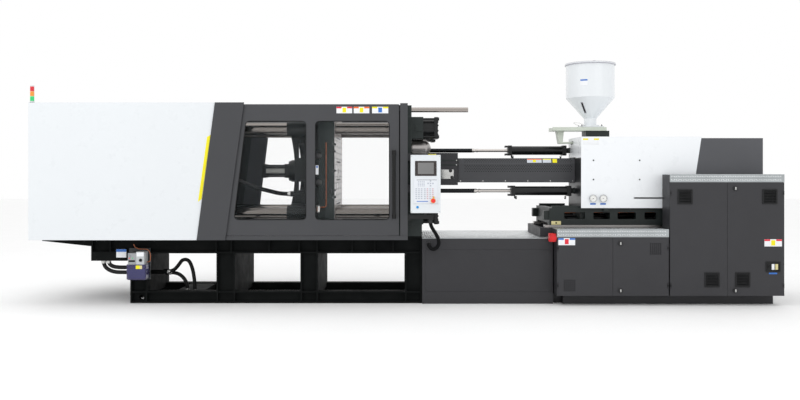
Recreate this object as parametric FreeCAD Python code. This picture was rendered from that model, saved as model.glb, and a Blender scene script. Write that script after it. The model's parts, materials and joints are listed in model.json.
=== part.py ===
"""Two-platen injection moulding machine: clamp unit, injection unit, base and cabinets.

Units are millimetres. X runs from the clamp end to the injection end, -Y is the operator
side and +Z is up. Everything is drawn about the machine's centreline, with the floor at Z 0,
and is moved along Y on export so that the origin is the bottom centre of the whole machine.
"""
import FreeCAD
import Part

import math
import os

from FreeCAD import Vector

# ---------------------------------------------------------------- clearances
FIT = 0.05            # radial clearance of a shaft that runs in its bore
GAP = 0.5             # clearance between parts that pass each other
SEAT = 0.3            # clearance under a part that slides or closes on a seat

# ---------------------------------------------------------------- whole machine
LEFT = -4160.5        # clamp end
RIGHT = 4160.5        # cabinet end
AXIS_Z = 1490.0       # height of the machine axis

# ---------------------------------------------------------------- clamp unit
TIE_R = 65.0
TIE_PITCH = 965.0     # tie-bar centres, the same across and up
TIE_LEFT = -3050.0
PLATEN_Y = 612.0      # half width of both platens
PLATEN_H = 1244.0
FIXED_FACE = -182.0
FIXED_BACK = 60.0
MOVING_FACE = -806.0
MOVING_BACK = -1130.0
BOSS = 244.0          # square boss round each tie bar
BOSS_END = 192.0
LOCK_END = 357.0
SLEEVE_R = 90.0
SLEEVE_END = -1349.0
MOULD_HOLE_R = 10.0
MOULD_HOLE_DEPTH = 45.0
MOULD_RECTANGLES = [(420.0, 420.0), (700.0, 420.0), (420.0, 700.0)]
RING_R = 87.5         # locating ring bore
RING_DEPTH = 25.0
NOZZLE_HOLE_R = 70.0
EJECTOR_R = 30.0
SAFETY_BAR_R = 28.0
SAFETY_BAR_Y = -560.0
SAFETY_BAR_Z = 2177.0
SAFETY_BAR_END = 698.0

EJECTOR_SEAT = -1366.0
EJECTOR_BORE = 50.0
WEB_Y = 300.0         # centre planes of the moving platen's rear webs

# ---------------------------------------------------------------- clamp bed
BED_Y = 600.0
RAIL_W = 120.0
RAIL_LOW = 560.0
RAIL_TOP = 753.0
BED_LEFT = -3544.0
BED_RIGHT = 177.0
FOOT_FRONT = 134.0
FOOT_REAR = 90.0
FLANGE = 18.0
POCKET = 45.0
POSTS = [(-3104.0, -2914.0), (-2135.0, -1926.0), (-1191.0, -993.0), (-14.0, 177.0)]
RIBS = [-3330.0, -2140.0, -1971.0, -1544.0, -1206.0, -1004.0, -610.0, -357.0, -149.0]
REAR_POST_SHIFT = -90.0
WAY_T = 30.0
WAY_W = 100.0
CARRIAGE_WAY_Y = 380.0
TRAVERSE_Y = 400.0
TRAVERSE_Z = 690.0
TRAVERSE_R = 25.0
TRAVERSE_BORE = 42.0
TRAVERSE_HEAD = -1940.0
HOSE_BEAM_X = (-2700.0, -2380.0)
HOSE_BEAM_TOP = 80.0
HOSE_PORTS = [(-2768.0, -300.0, 324.0), (-2768.0, -215.0, 300.0)]
HOSE_ENDS = [(-2452.0, -300.0), (-2560.0, -215.0)]

# ---------------------------------------------------------------- covers and gates
COVER_Y = 800.0
COVER_LOW = 724.0
COVER_TOP = 2240.0
SHEET = 4.0
TRIM_T = 12.0
TRIM_TOP = (-2105.0, -1785.0)
TRIM_LOW = (-2306.0, -1992.0)
GATE_FRONT = 790.0
GATE_T = 40.0
GATE_LOW = 774.0
GATE_TOP = 2221.0
GATE_RIGHT = -81.0
GATE_LEFT = (-2135.0, -1940.0)
WINDOW_LOW = 948.0
WINDOW_TOP = 2034.0
WINDOW_R = 45.0
PANE_T = 6.0
STILE = (-68.0, 15.0)
GATE_RAIL_Y = 748.0   # rear face of the gates' lower rails
GATE_STOP_X = -3190.0

# ---------------------------------------------------------------- base and cabinets
BASE_X = (179.0, 1643.0)
BASE_Y = 640.0
BASE_TOP = 729.0
BASE_BACK_Y = 530.0
BASE_END = 4107.0
PLINTH_X = 1755.0
PLINTH_Z = 109.0
PEDESTAL_X = (1531.0, 4000.0)
PEDESTAL_Y = 450.0
PEDESTAL_TOP = 839.0
TREAD_T = 6.0
CABINET_Y = 800.0
CABINET_BACK = 540.0
DOOR_T = 20.0
DOOR_GAP = 1.5        # behind a closed door, for its back edge to swing
LOW_X = (1657.0, 2889.0)
LOW_SPLIT = 2272.0
LOW_TOP = 757.0
TALL_X = (2900.0, RIGHT)
TALL_SPLIT = 3532.0
TALL_TOP = 1362.0
RISER = 87.0          # height of the tread riser over each cabinet's doors

# ---------------------------------------------------------------- injection unit
UNIT_LOW = 869.0
UNIT_TOP = 1062.0
UNIT_X = (1637.0, 3950.0)
UNIT_Y = 450.0
BARREL_R = 95.0
SCREW_R = 40.0
NOZZLE_TIP = 180.0
BARREL_X = (330.0, 2400.0)
HOUSING_X = (2003.0, 2420.0)
HOUSING_Y = 180.0
CYLINDER_PLATE_Y = 330.0
HOUSING_TOP = 1850.0
FEED_TOP = 1966.0
PLATE_T = 42.0
HOPPER_X = 2208.0
HOPPER_R = 286.0
HOPPER_RIM = 298.0
HOPPER_TOP = 2765.0
HOPPER_NECK_R = 73.0
WALL = 3.0
WHITE_X = (1989.0, 3359.0)
WHITE_Y = 500.0
WHITE_LOW = 1065.0
WHITE_TOP = 1878.0
DARK_END = 4057.0
DARK_TOP = 1861.0
DARK_INSET = 2.0
ROD_Y = 140.0         # carriage cylinders: upper one behind the axis, lower one before it
UPPER_Z = 1738.0
LOWER_Z = 1255.0
TUBE_X = (1282.0, 1900.0)

# ---------------------------------------------------------------- control panel
PANEL_X = (46.0, 372.0)
PANEL_Y = (-900.0, -835.0)
PANEL_Z = (1027.0, 1660.0)
PIVOT = (209.0, -790.0)
PIVOT_R = 15.0
E_STOP = (291.0, 1161.0)
E_STOP_R = 23.0
BLUE = (121.0, 1091.0)
BLUE_R = 14.0

BUTTON_STEM_R = 8.0
PIN_LOW = 1004.0
PIN_TOP = 1545.0
CONDUIT_R = 21.0
CONDUIT = [(264.0, -782.0, 944.0), (264.0, -782.0, 900.0), (288.0, -780.0, 850.0),
           (322.0, -776.0, 800.0), (350.0, -768.0, 748.0), (364.0, -758.0, 688.0),
           (340.0, -750.0, 632.0), (290.0, -741.0, 614.0), (256.0, -726.0, 642.0),
           (250.0, -694.0, 670.0), (250.0, -654.0, 670.0)]

# ---------------------------------------------------------------- small pieces
BED_HOSE_R = 21.0
PLATEN_HOSE_R = 24.0
LOOP_HOSE_R = 22.0
OUTER_LOOP = [(-3424.0, -540.0, 476.0), (-3424.0, -540.0, 430.0), (-3384.0, -540.0, 376.0),
              (-3304.0, -540.0, 343.0), (-3204.0, -540.0, 340.0), (-3104.0, -540.0, 340.0)]
INNER_LOOP = [(-3366.0, -540.0, 476.0), (-3366.0, -540.0, 442.0), (-3330.0, -540.0, 410.0),
              (-3270.0, -540.0, 397.0), (-3187.0, -540.0, 396.0), (-3104.0, -540.0, 396.0)]
PLATEN_HOSE = [(-2150.0, -574.0, 1452.0), (-2050.0, -574.0, 1452.0), (-1930.0, -560.0, 1398.0),
               (-1810.0, -520.0, 1336.0), (-1690.0, -450.0, 1290.0), (-1570.0, -370.0, 1256.0),
               (-1450.0, -300.0, 1222.0), (-1340.0, -300.0, 1222.0)]
PIN_R = 4.0           # door hinge pins
PIN_IN = 9.0
KNUCKLE_R = 8.0
LATCH_R = 8.0
GRILLE = 165.0
BREAKER = (3955.0, 374.0)
SOCKET = (1616.0, 748.0)
ROD_R = 19.0
INJECT_Y = 230.0
THRUST_X = 3060.0
SCREW_END = 3140.0
SHOT = 120.0          # injection stroke
GAUGES_X = (2123.0, 2238.0)
GAUGE_Z = 1175.0
LID_Y = 309.0
LID_Z = HOPPER_TOP + 6

# The front-most point is the emergency stop and the rear-most the rear gate's handle.
FRONT_REACH = 930.0
REAR_REACH = 850.0
CENTRE_SHIFT = (FRONT_REACH - REAR_REACH) / 2


# ---------------------------------------------------------------- shape helpers
def box(x, y, z):
    """Block between three (low, high) pairs."""
    return Part.makeBox(x[1] - x[0], y[1] - y[0], z[1] - z[0], Vector(x[0], y[0], z[0]))


def round_x(radius, x, y, z):
    """Cylinder along X between the pair x, centred on y, z."""
    return Part.makeCylinder(radius, x[1] - x[0], Vector(x[0], y, z), Vector(1, 0, 0))


def round_y(radius, x, y, z):
    """Cylinder along Y between the pair y, centred on x, z."""
    return Part.makeCylinder(radius, y[1] - y[0], Vector(x, y[0], z), Vector(0, 1, 0))


def round_z(radius, x, y, z):
    """Cylinder along Z between the pair z, centred on x, y."""
    return Part.makeCylinder(radius, z[1] - z[0], Vector(x, y, z[0]), Vector(0, 0, 1))


def side_plate(points, y):
    """Outline in X and Z, extruded between the pair y."""
    corners = [Vector(px, y[0], pz) for px, pz in points]
    face = Part.Face(Part.makePolygon(corners + corners[:1]))
    return face.extrude(Vector(0, y[1] - y[0], 0))


def end_plate(points, x):
    """Outline in Y and Z, extruded between the pair x."""
    corners = [Vector(x[0], py, pz) for py, pz in points]
    face = Part.Face(Part.makePolygon(corners + corners[:1]))
    return face.extrude(Vector(x[1] - x[0], 0, 0))


def join(*shapes):
    """One solid from shapes that touch or overlap."""
    return shapes[0].fuse(list(shapes[1:])).removeSplitter()


def rear(shape):
    """The same shape on the other side of the centreline."""
    return shape.mirror(Vector(0, 0, 0), Vector(0, 1, 0))


def pair(shape):
    """A front piece and its mirror image at the rear, as separate solids."""
    return Part.makeCompound([shape, rear(shape)])


def soften(shape, radius, axis):
    """Fillet every edge that runs along the axis."""
    edges = []
    for edge in shape.Edges:
        span = edge.Vertexes[-1].Point - edge.Vertexes[0].Point
        if span.Length > 0.01 and abs(span.normalize().dot(axis)) > 0.99:
            edges.append(edge)
    return shape.makeFillet(radius, edges)


def hose(name, points, radius):
    """Round hose of straight runs joined by tangent arcs, each as large as its runs allow."""
    corners = [Vector(*point) for point in points]
    edges = []
    radii = []
    start = corners[0]
    for before, corner, after in zip(corners, corners[1:], corners[2:]):
        way_in = Vector(before - corner).normalize()
        way_out = Vector(after - corner).normalize()
        turn = math.pi - way_in.getAngle(way_out)
        setback = 0.45 * min((before - corner).Length, (after - corner).Length)
        bend = setback / math.tan(turn / 2)
        radii.append(bend)
        first = corner + way_in * setback
        last = corner + way_out * setback
        inward = Vector(way_in + way_out).normalize()
        middle = corner + inward * (math.hypot(bend, setback) - bend)
        edges.append(Part.LineSegment(start, first).toShape())
        edges.append(Part.Arc(first, middle, last).toShape())
        start = last
    edges.append(Part.LineSegment(start, corners[-1]).toShape())
    path = Part.Wire(edges)
    heading = (corners[1] - corners[0]).normalize()
    section = Part.Wire([Part.makeCircle(radius, corners[0], heading)])
    tube = path.makePipeShell([section], True, False)
    ratio = tube.Volume / (math.pi * radius * radius * path.Length)
    print(name, "length", round(path.Length), "volume ratio", round(ratio, 4))
    print(name, "radii in diameters", [round(r / (2 * radius), 1) for r in radii])
    return tube


def tie_centres():
    """Y and Z of the four tie bars."""
    half = TIE_PITCH / 2
    return [(y, AXIS_Z + z) for y in (-half, half) for z in (-half, half)]


# ---------------------------------------------------------------- clamp bed
def bed_side(foot_top, post_shift):
    """One side of the bed frame: top rail, foot rail and posts, with open channels outside."""
    y = (-BED_Y, -BED_Y + RAIL_W)
    outer = (-BED_Y - 1, -BED_Y + POCKET)
    posts = [(POSTS[0][0] + post_shift, POSTS[0][1] + post_shift)] + POSTS[1:]
    pieces = [box((BED_LEFT, BED_RIGHT), y, (RAIL_LOW, RAIL_TOP)),
              box((posts[0][0], BED_RIGHT), y, (0, foot_top))]
    pieces += [box(post, y, (0, RAIL_LOW)) for post in posts]
    side = join(*pieces)
    cuts = [box((BED_LEFT + FLANGE, BED_RIGHT - FLANGE), outer,
                (RAIL_LOW + FLANGE, RAIL_TOP - FLANGE)),
            box((posts[0][0] + FLANGE, BED_RIGHT - FLANGE), outer, (FLANGE, foot_top - FLANGE))]
    for low, high in posts:
        cuts.append(box((low + FLANGE, high - FLANGE), outer, (foot_top, RAIL_LOW)))
    side = side.cut(cuts)
    in_channel = (-BED_Y, -BED_Y + POCKET + 1)
    stiffeners = [box((x - FLANGE / 2, x + FLANGE / 2), in_channel,
                      (RAIL_LOW + 1, RAIL_TOP - 1)) for x in RIBS]
    for low, high in posts:
        for x in (low + FLANGE / 2, high - FLANGE / 2):
            stiffeners.append(box((x - FLANGE / 2, x + FLANGE / 2), in_channel,
                                  (1, foot_top - 1)))
    ledge = [box((low, high), in_channel, (foot_top - FLANGE, foot_top)) for low, high in posts]
    return join(side, *stiffeners, *ledge)


def clamp_bed():
    """Welded bed: two sides, transverse webs, cross beams, cover brackets and hose ports."""
    inside = (-BED_Y + RAIL_W - 1, BED_Y - RAIL_W + 1)
    lifting_hole = (-2993.0, 58.0, 31.0)
    front = bed_side(FOOT_FRONT, 0.0)
    front = front.cut(round_y(lifting_hole[2], lifting_hole[0], (-BED_Y - 1, 0), lifting_hole[1]))
    back = rear(bed_side(FOOT_REAR, REAR_POST_SHIFT))
    web_t = 20.0
    web_right = [POSTS[0][1] + REAR_POST_SHIFT] + [high for low, high in POSTS[1:]]
    webs = [box((x - web_t, x), inside, (FOOT_REAR / 2, RAIL_LOW + FLANGE)) for x in web_right]
    beams = [box((POSTS[0][0], POSTS[0][1] - 100), inside, (RAIL_LOW, RAIL_TOP)),
             box((POSTS[3][0], POSTS[3][1]), inside, (RAIL_LOW, RAIL_TOP)),
             box(HOSE_BEAM_X, inside, (0, HOSE_BEAM_TOP))]
    end_box = box((BED_LEFT, BED_LEFT + 403), (-BED_Y, -BED_Y + RAIL_W), (476, RAIL_LOW + 1))
    taper = side_plate([(BED_LEFT + 1, COVER_LOW), (BED_LEFT + 1, 640), (LEFT + 65, 700),
                        (LEFT + 65, COVER_LOW)], (-BED_Y, -BED_Y + RAIL_W))
    arms = []
    for x in (-3900.0, -3400.0):
        arms.append(box((x, x + 60), (-COVER_Y + SHEET, -BED_Y + 60), (COVER_LOW, RAIL_TOP)))
    for x in (-2950.0, -2350.0, -1750.0, -1060.0, -360.0):
        arms.append(box((x, x + 50), (-GATE_RAIL_Y, -BED_Y + 20), (COVER_LOW, RAIL_TOP)))
    front_extra = join(end_box, taper, *arms)
    start = PLATEN_HOSE[0]
    stanchion = box((start[0] - 45, start[0] - 20), (start[1] - 18, start[1] + 18),
                    (RAIL_TOP - 1, start[2] + 40))
    ports = [stanchion, round_x(PLATEN_HOSE_R + 8, (start[0] - 21, start[0]), start[1],
                                start[2])]
    for x, y, z in HOSE_PORTS:
        ports.append(round_x(17.0, (web_right[0] - 1, x), y, z))
        ports.append(round_x(27.0, (x - 45, x), y, z))
    return join(front, back, *webs, *beams, front_extra, rear(front_extra), *ports)


def guide_ways():
    """Hardened strips: two under the moving platen and two under the injection carriage."""
    middle = BED_Y - RAIL_W / 2
    clamp = box((-2000.0, FIXED_FACE - 20), (-middle - WAY_W / 2, -middle + WAY_W / 2),
                (RAIL_TOP, RAIL_TOP + WAY_T))
    unit = box((PEDESTAL_X[0] + 60, PEDESTAL_X[1]), (-CARRIAGE_WAY_Y - WAY_W / 2,
                                                     -CARRIAGE_WAY_Y + WAY_W / 2),
               (PEDESTAL_TOP, UNIT_LOW - SEAT))
    return Part.makeCompound([clamp, rear(clamp), unit, rear(unit)])


# ---------------------------------------------------------------- platens and tie bars
def mould_holes(face, inward):
    """Tapped holes in a platen face, drilled along X in the direction given."""
    holes = []
    x = tuple(sorted((face - inward, face + inward * MOULD_HOLE_DEPTH)))
    for width, height in MOULD_RECTANGLES:
        for y in (-width / 2, width / 2):
            for z in (-height / 2, height / 2):
                holes.append(round_x(MOULD_HOLE_R, x, y, AXIS_Z + z))
    return holes


def fixed_platen():
    """Cast platen with a nozzle hole, locating ring bore, tie-bar bosses, feet and bar lug."""
    z = (AXIS_Z - PLATEN_H / 2 - 6, AXIS_Z + PLATEN_H / 2 + 6)
    body = soften(box((FIXED_FACE, FIXED_BACK), (-PLATEN_Y, PLATEN_Y), z), 30.0, Vector(1, 0, 0))
    half = BOSS / 2
    bosses = [box((FIXED_BACK - 1, BOSS_END), (y - half, y + half), (c - half, c + half))
              for y, c in tie_centres()]
    middle = BED_Y - RAIL_W / 2
    feet = [box((FIXED_FACE, BED_RIGHT), (y - 60, y + 60), (RAIL_TOP, z[0] + 90))
            for y in (-middle, middle)]
    lug = box((FIXED_BACK - 100, FIXED_BACK), (SAFETY_BAR_Y - 45, SAFETY_BAR_Y + 45),
              (z[1] - 60, SAFETY_BAR_Z + 48))
    pads = [box((FIXED_BACK + 40, BOSS_END - 12), (-TIE_PITCH / 2 - half - 8, -TIE_PITCH / 2),
                (c - 40, c + 40)) for y, c in tie_centres()[:2]]
    platen = join(body, *bosses, *feet, lug, *pads, rear(pads[0]), rear(pads[1]))
    cuts = [round_x(TIE_R + FIT, (FIXED_FACE - 1, BOSS_END + 1), y, c) for y, c in tie_centres()]
    cuts.append(round_x(SAFETY_BAR_R + GAP, (FIXED_FACE, FIXED_BACK + 1),
                        SAFETY_BAR_Y, SAFETY_BAR_Z))
    cuts.append(round_x(RING_R, (FIXED_FACE - 1, FIXED_FACE + RING_DEPTH), 0, AXIS_Z))
    cuts.append(round_x(NOZZLE_HOLE_R, (FIXED_FACE, FIXED_BACK), 0, AXIS_Z))
    funnel = Part.makeCone(NOZZLE_HOLE_R, NOZZLE_HOLE_R + 90, 141,
                           Vector(FIXED_BACK - 140, 0, AXIS_Z), Vector(1, 0, 0))
    return platen.cut(cuts + [funnel] + mould_holes(FIXED_FACE, 1))


def tie_bars():
    """Four polished bars that run from the clamp end into the locking cylinders."""
    chamfer = 8.0
    bars = []
    for y, z in tie_centres():
        tip = Part.makeCone(TIE_R - chamfer, TIE_R, chamfer, Vector(TIE_LEFT, y, z),
                            Vector(1, 0, 0))
        bars.append(join(tip, round_x(TIE_R, (TIE_LEFT + chamfer, LOCK_END - 28), y, z)))
    return Part.makeCompound(bars)


def locking_cylinders():
    """Short hydraulic cylinders behind the bosses, each with a square bolted end flange."""
    cylinders = []
    half = BOSS / 2
    for y, z in tie_centres():
        tube = round_x(104.0, (BOSS_END, LOCK_END - 30), y, z)
        flange = box((LOCK_END - 40, LOCK_END), (y - half, y + half), (z - half, z + half))
        flange = soften(flange, 18.0, Vector(1, 0, 0))
        extras = []
        for dy in (-100.0, 100.0):
            for dz in (-100.0, 100.0):
                extras.append(round_x(11.0, (BOSS_END, LOCK_END - 39), y + dy, z + dz))
                extras.append(round_x(18.0, (LOCK_END - 1, LOCK_END + 14), y + dy, z + dz))
        for turn in range(8):
            angle = math.radians(22.5 + 45 * turn)
            extras.append(round_x(9.0, (LOCK_END - 1, LOCK_END + 9), y + 78 * math.cos(angle),
                                  z + 78 * math.sin(angle)))
        body = join(tube, flange, *extras)
        cylinders.append(body.cut(round_x(TIE_R + FIT, (BOSS_END - 1, LOCK_END - 27), y, z)))
    return Part.makeCompound(cylinders)


def moving_platen():
    """Cast platen with tie-bar sleeves, two concave rear webs, shoes and traverse lugs."""
    z = (AXIS_Z - PLATEN_H / 2, AXIS_Z + PLATEN_H / 2)
    face = box((MOVING_FACE - 110, MOVING_FACE), (-PLATEN_Y, PLATEN_Y), z)
    core = box((MOVING_BACK, MOVING_FACE - 60), (-PLATEN_Y + 30, PLATEN_Y - 30),
               (z[0] + 40, z[1] - 40))
    body = join(soften(face, 20.0, Vector(1, 0, 0)), core)
    sleeves = [round_x(SLEEVE_R, (SLEEVE_END, MOVING_BACK + 1), y, c) for y, c in tie_centres()]
    collars = [round_x(SLEEVE_R + 14, (SLEEVE_END + 60, MOVING_BACK + 1), y, c)
               for y, c in tie_centres()]
    bow = Part.Arc(Vector(SLEEVE_END + 14, 0, z[1] - 210), Vector(SLEEVE_END + 62, 0, AXIS_Z),
                   Vector(SLEEVE_END + 14, 0, z[0] + 210)).toShape()
    high = Vector(MOVING_BACK + 1, 0, z[1] - 210)
    low = Vector(MOVING_BACK + 1, 0, z[0] + 210)
    outline = Part.Wire([bow, Part.LineSegment(bow.Vertexes[-1].Point, low).toShape(),
                         Part.LineSegment(low, high).toShape(),
                         Part.LineSegment(high, bow.Vertexes[0].Point).toShape()])
    web = Part.Face(outline).extrude(Vector(0, 60, 0))
    hose_end = PLATEN_HOSE[-1]
    port = round_x(PLATEN_HOSE_R + 8, (hose_end[0], hose_end[0] + 90), hose_end[1], hose_end[2])
    webs = [port]
    for y in (-WEB_Y - 30, WEB_Y - 30):
        placed = web.copy()
        placed.translate(Vector(0, y, 0))
        webs.append(placed)
    mount = round_x(130.0, (EJECTOR_SEAT, MOVING_BACK + 1), 0, AXIS_Z)
    bridge = box((SLEEVE_END + 80, MOVING_BACK + 1), (-WEB_Y, WEB_Y), (AXIS_Z - 60, AXIS_Z + 60))
    middle = BED_Y - RAIL_W / 2
    shoes = [box((MOVING_BACK - 60, MOVING_FACE), (y - 52, y + 52),
                 (RAIL_TOP + WAY_T + SEAT, z[0] + 60)) for y in (-middle, middle)]
    lugs = [box((MOVING_BACK, MOVING_BACK + 70), (y - 40, y + 40), (TRAVERSE_Z - 45, z[0] + 60))
            for y in (-TRAVERSE_Y, TRAVERSE_Y)]
    bar_lug = box((MOVING_BACK + 150, MOVING_FACE - 40), (SAFETY_BAR_Y - 45, SAFETY_BAR_Y + 45),
                  (z[1] - 60, SAFETY_BAR_Z + 48))
    platen = join(body, *sleeves, *collars, *webs, mount, bridge, *shoes, *lugs, bar_lug)
    cuts = [round_x(TIE_R + GAP, (SLEEVE_END - 1, MOVING_FACE + 1), y, c)
            for y, c in tie_centres()]
    cuts.append(round_x(EJECTOR_R + GAP, (EJECTOR_SEAT - 1, MOVING_FACE + 1), 0, AXIS_Z))
    for low_z, high_z in ((AXIS_Z + 150, AXIS_Z + 310), (AXIS_Z - 225, AXIS_Z - 120)):
        cuts.append(box((SLEEVE_END + 104, SLEEVE_END + 168), (-WEB_Y - 40, WEB_Y + 40),
                        (low_z, high_z)))
    for dz in (180.0, -130.0):
        cuts.append(round_y(48.0, MOVING_BACK + 130, (-PLATEN_Y, PLATEN_Y), AXIS_Z + dz))
    for side in (-1, 1):
        recess = tuple(sorted((side * (PLATEN_Y - 30), side * (PLATEN_Y - 48))))
        cuts.append(box((MOVING_BACK + 50, MOVING_FACE - 150), recess, (z[0] + 240, z[1] - 240)))
    for dz in (-300.0, 0.0, 300.0):
        cuts.append(box((MOVING_FACE - 22, MOVING_FACE + 1), (-PLATEN_Y - 1, -390.0),
                        (AXIS_Z + dz - 12, AXIS_Z + dz + 12)))
    return platen.cut(cuts + mould_holes(MOVING_FACE, -1))


def ejector_cylinder():
    """Hydraulic cylinder on the back of the moving platen, with end caps and tie rods."""
    x = (EJECTOR_SEAT - 348, EJECTOR_SEAT)
    tube = round_x(62.0, (x[0] + 30, x[1] - 70), 0, AXIS_Z)
    caps = [soften(box((x[0], x[0] + 50), (-83, 83), (AXIS_Z - 83, AXIS_Z + 83)), 14.0,
                   Vector(1, 0, 0)),
            soften(box((x[1] - 75, x[1] - 20), (-83, 83), (AXIS_Z - 83, AXIS_Z + 83)), 14.0,
                   Vector(1, 0, 0)),
            round_x(120.0, (x[1] - 24, x[1]), 0, AXIS_Z)]
    rods = [round_x(8.0, (x[0] - 12, x[1] - 10), y, AXIS_Z + z)
            for y in (-66.0, 66.0) for z in (-66.0, 66.0)]
    bolts = [round_x(11.0, (x[1] - 36, x[1] - 20), 100 * math.cos(math.radians(a)),
                     AXIS_Z + 100 * math.sin(math.radians(a))) for a in range(30, 390, 60)]
    body = join(tube, *caps, *rods, *bolts)
    bore = round_x(EJECTOR_BORE, (x[0] + 25, x[1] - 60), 0, AXIS_Z)
    gland = round_x(EJECTOR_R + FIT, (x[0] + 25, x[1] + 1), 0, AXIS_Z)
    return body.cut([bore, gland])


def ejector_rod():
    """Piston and rod that push through the middle of the moving platen."""
    piston = round_x(EJECTOR_BORE - FIT, (EJECTOR_SEAT - 315, EJECTOR_SEAT - 275), 0, AXIS_Z)
    rod = round_x(EJECTOR_R, (EJECTOR_SEAT - 315, MOVING_FACE - 10), 0, AXIS_Z)
    return join(piston, rod)


def safety_bar():
    """Round drop bar, fixed in the moving platen's lug, with catch grooves."""
    bar = round_x(SAFETY_BAR_R, (MOVING_FACE - 40, SAFETY_BAR_END), SAFETY_BAR_Y, SAFETY_BAR_Z)
    bar = join(bar, round_x(SAFETY_BAR_R + 12, (MOVING_FACE - 40, MOVING_FACE - 10),
                            SAFETY_BAR_Y, SAFETY_BAR_Z))
    return bar


def traverse_cylinders():
    """Two cylinders in the bed that open and close the clamp."""
    cylinders = []
    for y in (-TRAVERSE_Y, TRAVERSE_Y):
        x = (POSTS[0][1] - 100, TRAVERSE_HEAD)
        tube = round_x(52.0, x, y, TRAVERSE_Z)
        head = box((x[1] - 60, x[1]), (y - 60, y + 60), (TRAVERSE_Z - 60, TRAVERSE_Z + 52))
        bore = round_x(TRAVERSE_BORE, (x[0] + 12, x[1] - 12), y, TRAVERSE_Z)
        gland = round_x(TRAVERSE_R + FIT, (x[1] - 20, x[1] + 1), y, TRAVERSE_Z)
        cylinders.append(join(tube, head).cut([bore, gland]))
    return Part.makeCompound(cylinders)


def traverse_rods():
    """Piston rods of the traverse cylinders, held in the moving platen's lugs."""
    rods = []
    for y in (-TRAVERSE_Y, TRAVERSE_Y):
        piston = round_x(TRAVERSE_BORE - FIT, (-2235.0, -2205.0), y, TRAVERSE_Z)
        rod = round_x(TRAVERSE_R, (-2235.0, MOVING_BACK), y, TRAVERSE_Z)
        rods.append(join(piston, rod))
    return Part.makeCompound(rods)


def accumulator():
    """Domed hydraulic accumulator on the back of the fixed platen."""
    radius = 95.0
    y, z = -400.0, 1752.0
    shoulder, crown = 222.0, 284.0
    step = FIXED_BACK + 10
    turned = [Vector(shoulder, y + radius, z), Vector(step, y + radius, z),
              Vector(step, y + radius - 30, z), Vector(FIXED_BACK, y + radius - 30, z),
              Vector(FIXED_BACK, y, z), Vector(crown, y, z)]
    bulge = Vector(crown - 18, y + radius * 0.55, z)
    edges = [Part.LineSegment(one, two).toShape() for one, two in zip(turned, turned[1:])]
    edges.append(Part.Arc(turned[-1], bulge, turned[0]).toShape())
    return Part.Face(Part.Wire(edges)).revolve(Vector(0, y, z), Vector(1, 0, 0), 360)


# ---------------------------------------------------------------- covers and gates
def trim_edge(z):
    """X of the slanted right edge of the trim panel at height z."""
    share = (z - COVER_LOW) / (COVER_TOP - COVER_LOW)
    return TRIM_LOW[1] + share * (TRIM_TOP[1] - TRIM_LOW[1])


def clamp_covers():
    """Sheet covers of the clamp end: front, rear, end and roof."""
    side = side_plate([(LEFT, COVER_LOW), (LEFT, COVER_TOP), (TRIM_TOP[1] - 5, COVER_TOP),
                       (TRIM_LOW[1] - 5, COVER_LOW)], (-COVER_Y, -COVER_Y + SHEET))
    inner = COVER_Y - SHEET
    end = box((LEFT, LEFT + SHEET), (-inner, inner), (COVER_LOW, COVER_TOP))
    roof = box((LEFT + SHEET, TRIM_LOW[1]), (-inner, inner), (COVER_TOP - SHEET, COVER_TOP))
    return Part.makeCompound([side, rear(side), end, roof])


def trim_panels():
    """Slanted trim trays in front of the covers' right edges, front and rear."""
    outline = [(TRIM_TOP[0], COVER_TOP), (TRIM_TOP[1], COVER_TOP), (TRIM_LOW[1], COVER_LOW),
               (TRIM_LOW[0], COVER_LOW)]
    tray = side_plate(outline, (-COVER_Y - TRIM_T, -COVER_Y))
    return pair(tray)


def gate_frames():
    """Welded frame for each gate: right post, running rails and inner upright."""
    back = GATE_RAIL_Y
    top_y = (-back, -back + 30)
    post = box(STILE, (-COVER_Y, -back + 20), (782.0, 2232.0))
    low = box((GATE_STOP_X, STILE[1]), (-GATE_FRONT, -back), (COVER_LOW, GATE_LOW - 4))
    foot = box((STILE[0], STILE[1]), (-COVER_Y + 10, -back + 20), (COVER_LOW, 783.0))
    top = box((GATE_STOP_X, STILE[0] + 1), top_y, (2150.0, 2200.0))
    upright = box((GATE_STOP_X, GATE_STOP_X + 40), (-back - 1, top_y[1]), (COVER_LOW, 2200.0))
    links = [box((STILE[1] - 30, FIXED_BACK), (-back + 19, -PLATEN_Y), (z, z + 80))
             for z in (1250.0, 1600.0)]
    return pair(join(post, low, foot, top, upright, *links))


def window(points, y):
    """Rounded window outline cut through a gate."""
    return soften(side_plate(points, y), WINDOW_R, Vector(0, 1, 0))


def window_outlines(grow):
    """Outlines of the two gate windows, each grown outwards by a margin."""
    left_low = trim_edge(WINDOW_LOW) + 62
    left_top = trim_edge(WINDOW_TOP) + 46
    low = WINDOW_LOW - grow
    top = WINDOW_TOP + grow
    return [[(left_low - grow, low), (left_top - grow, top), (-1106.0 + grow, top),
             (-1106.0 + grow, low)],
            [(-1003.0 - grow, low), (-1003.0 - grow, top), (-188.0 + grow, top),
             (-188.0 + grow, low)]]


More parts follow.
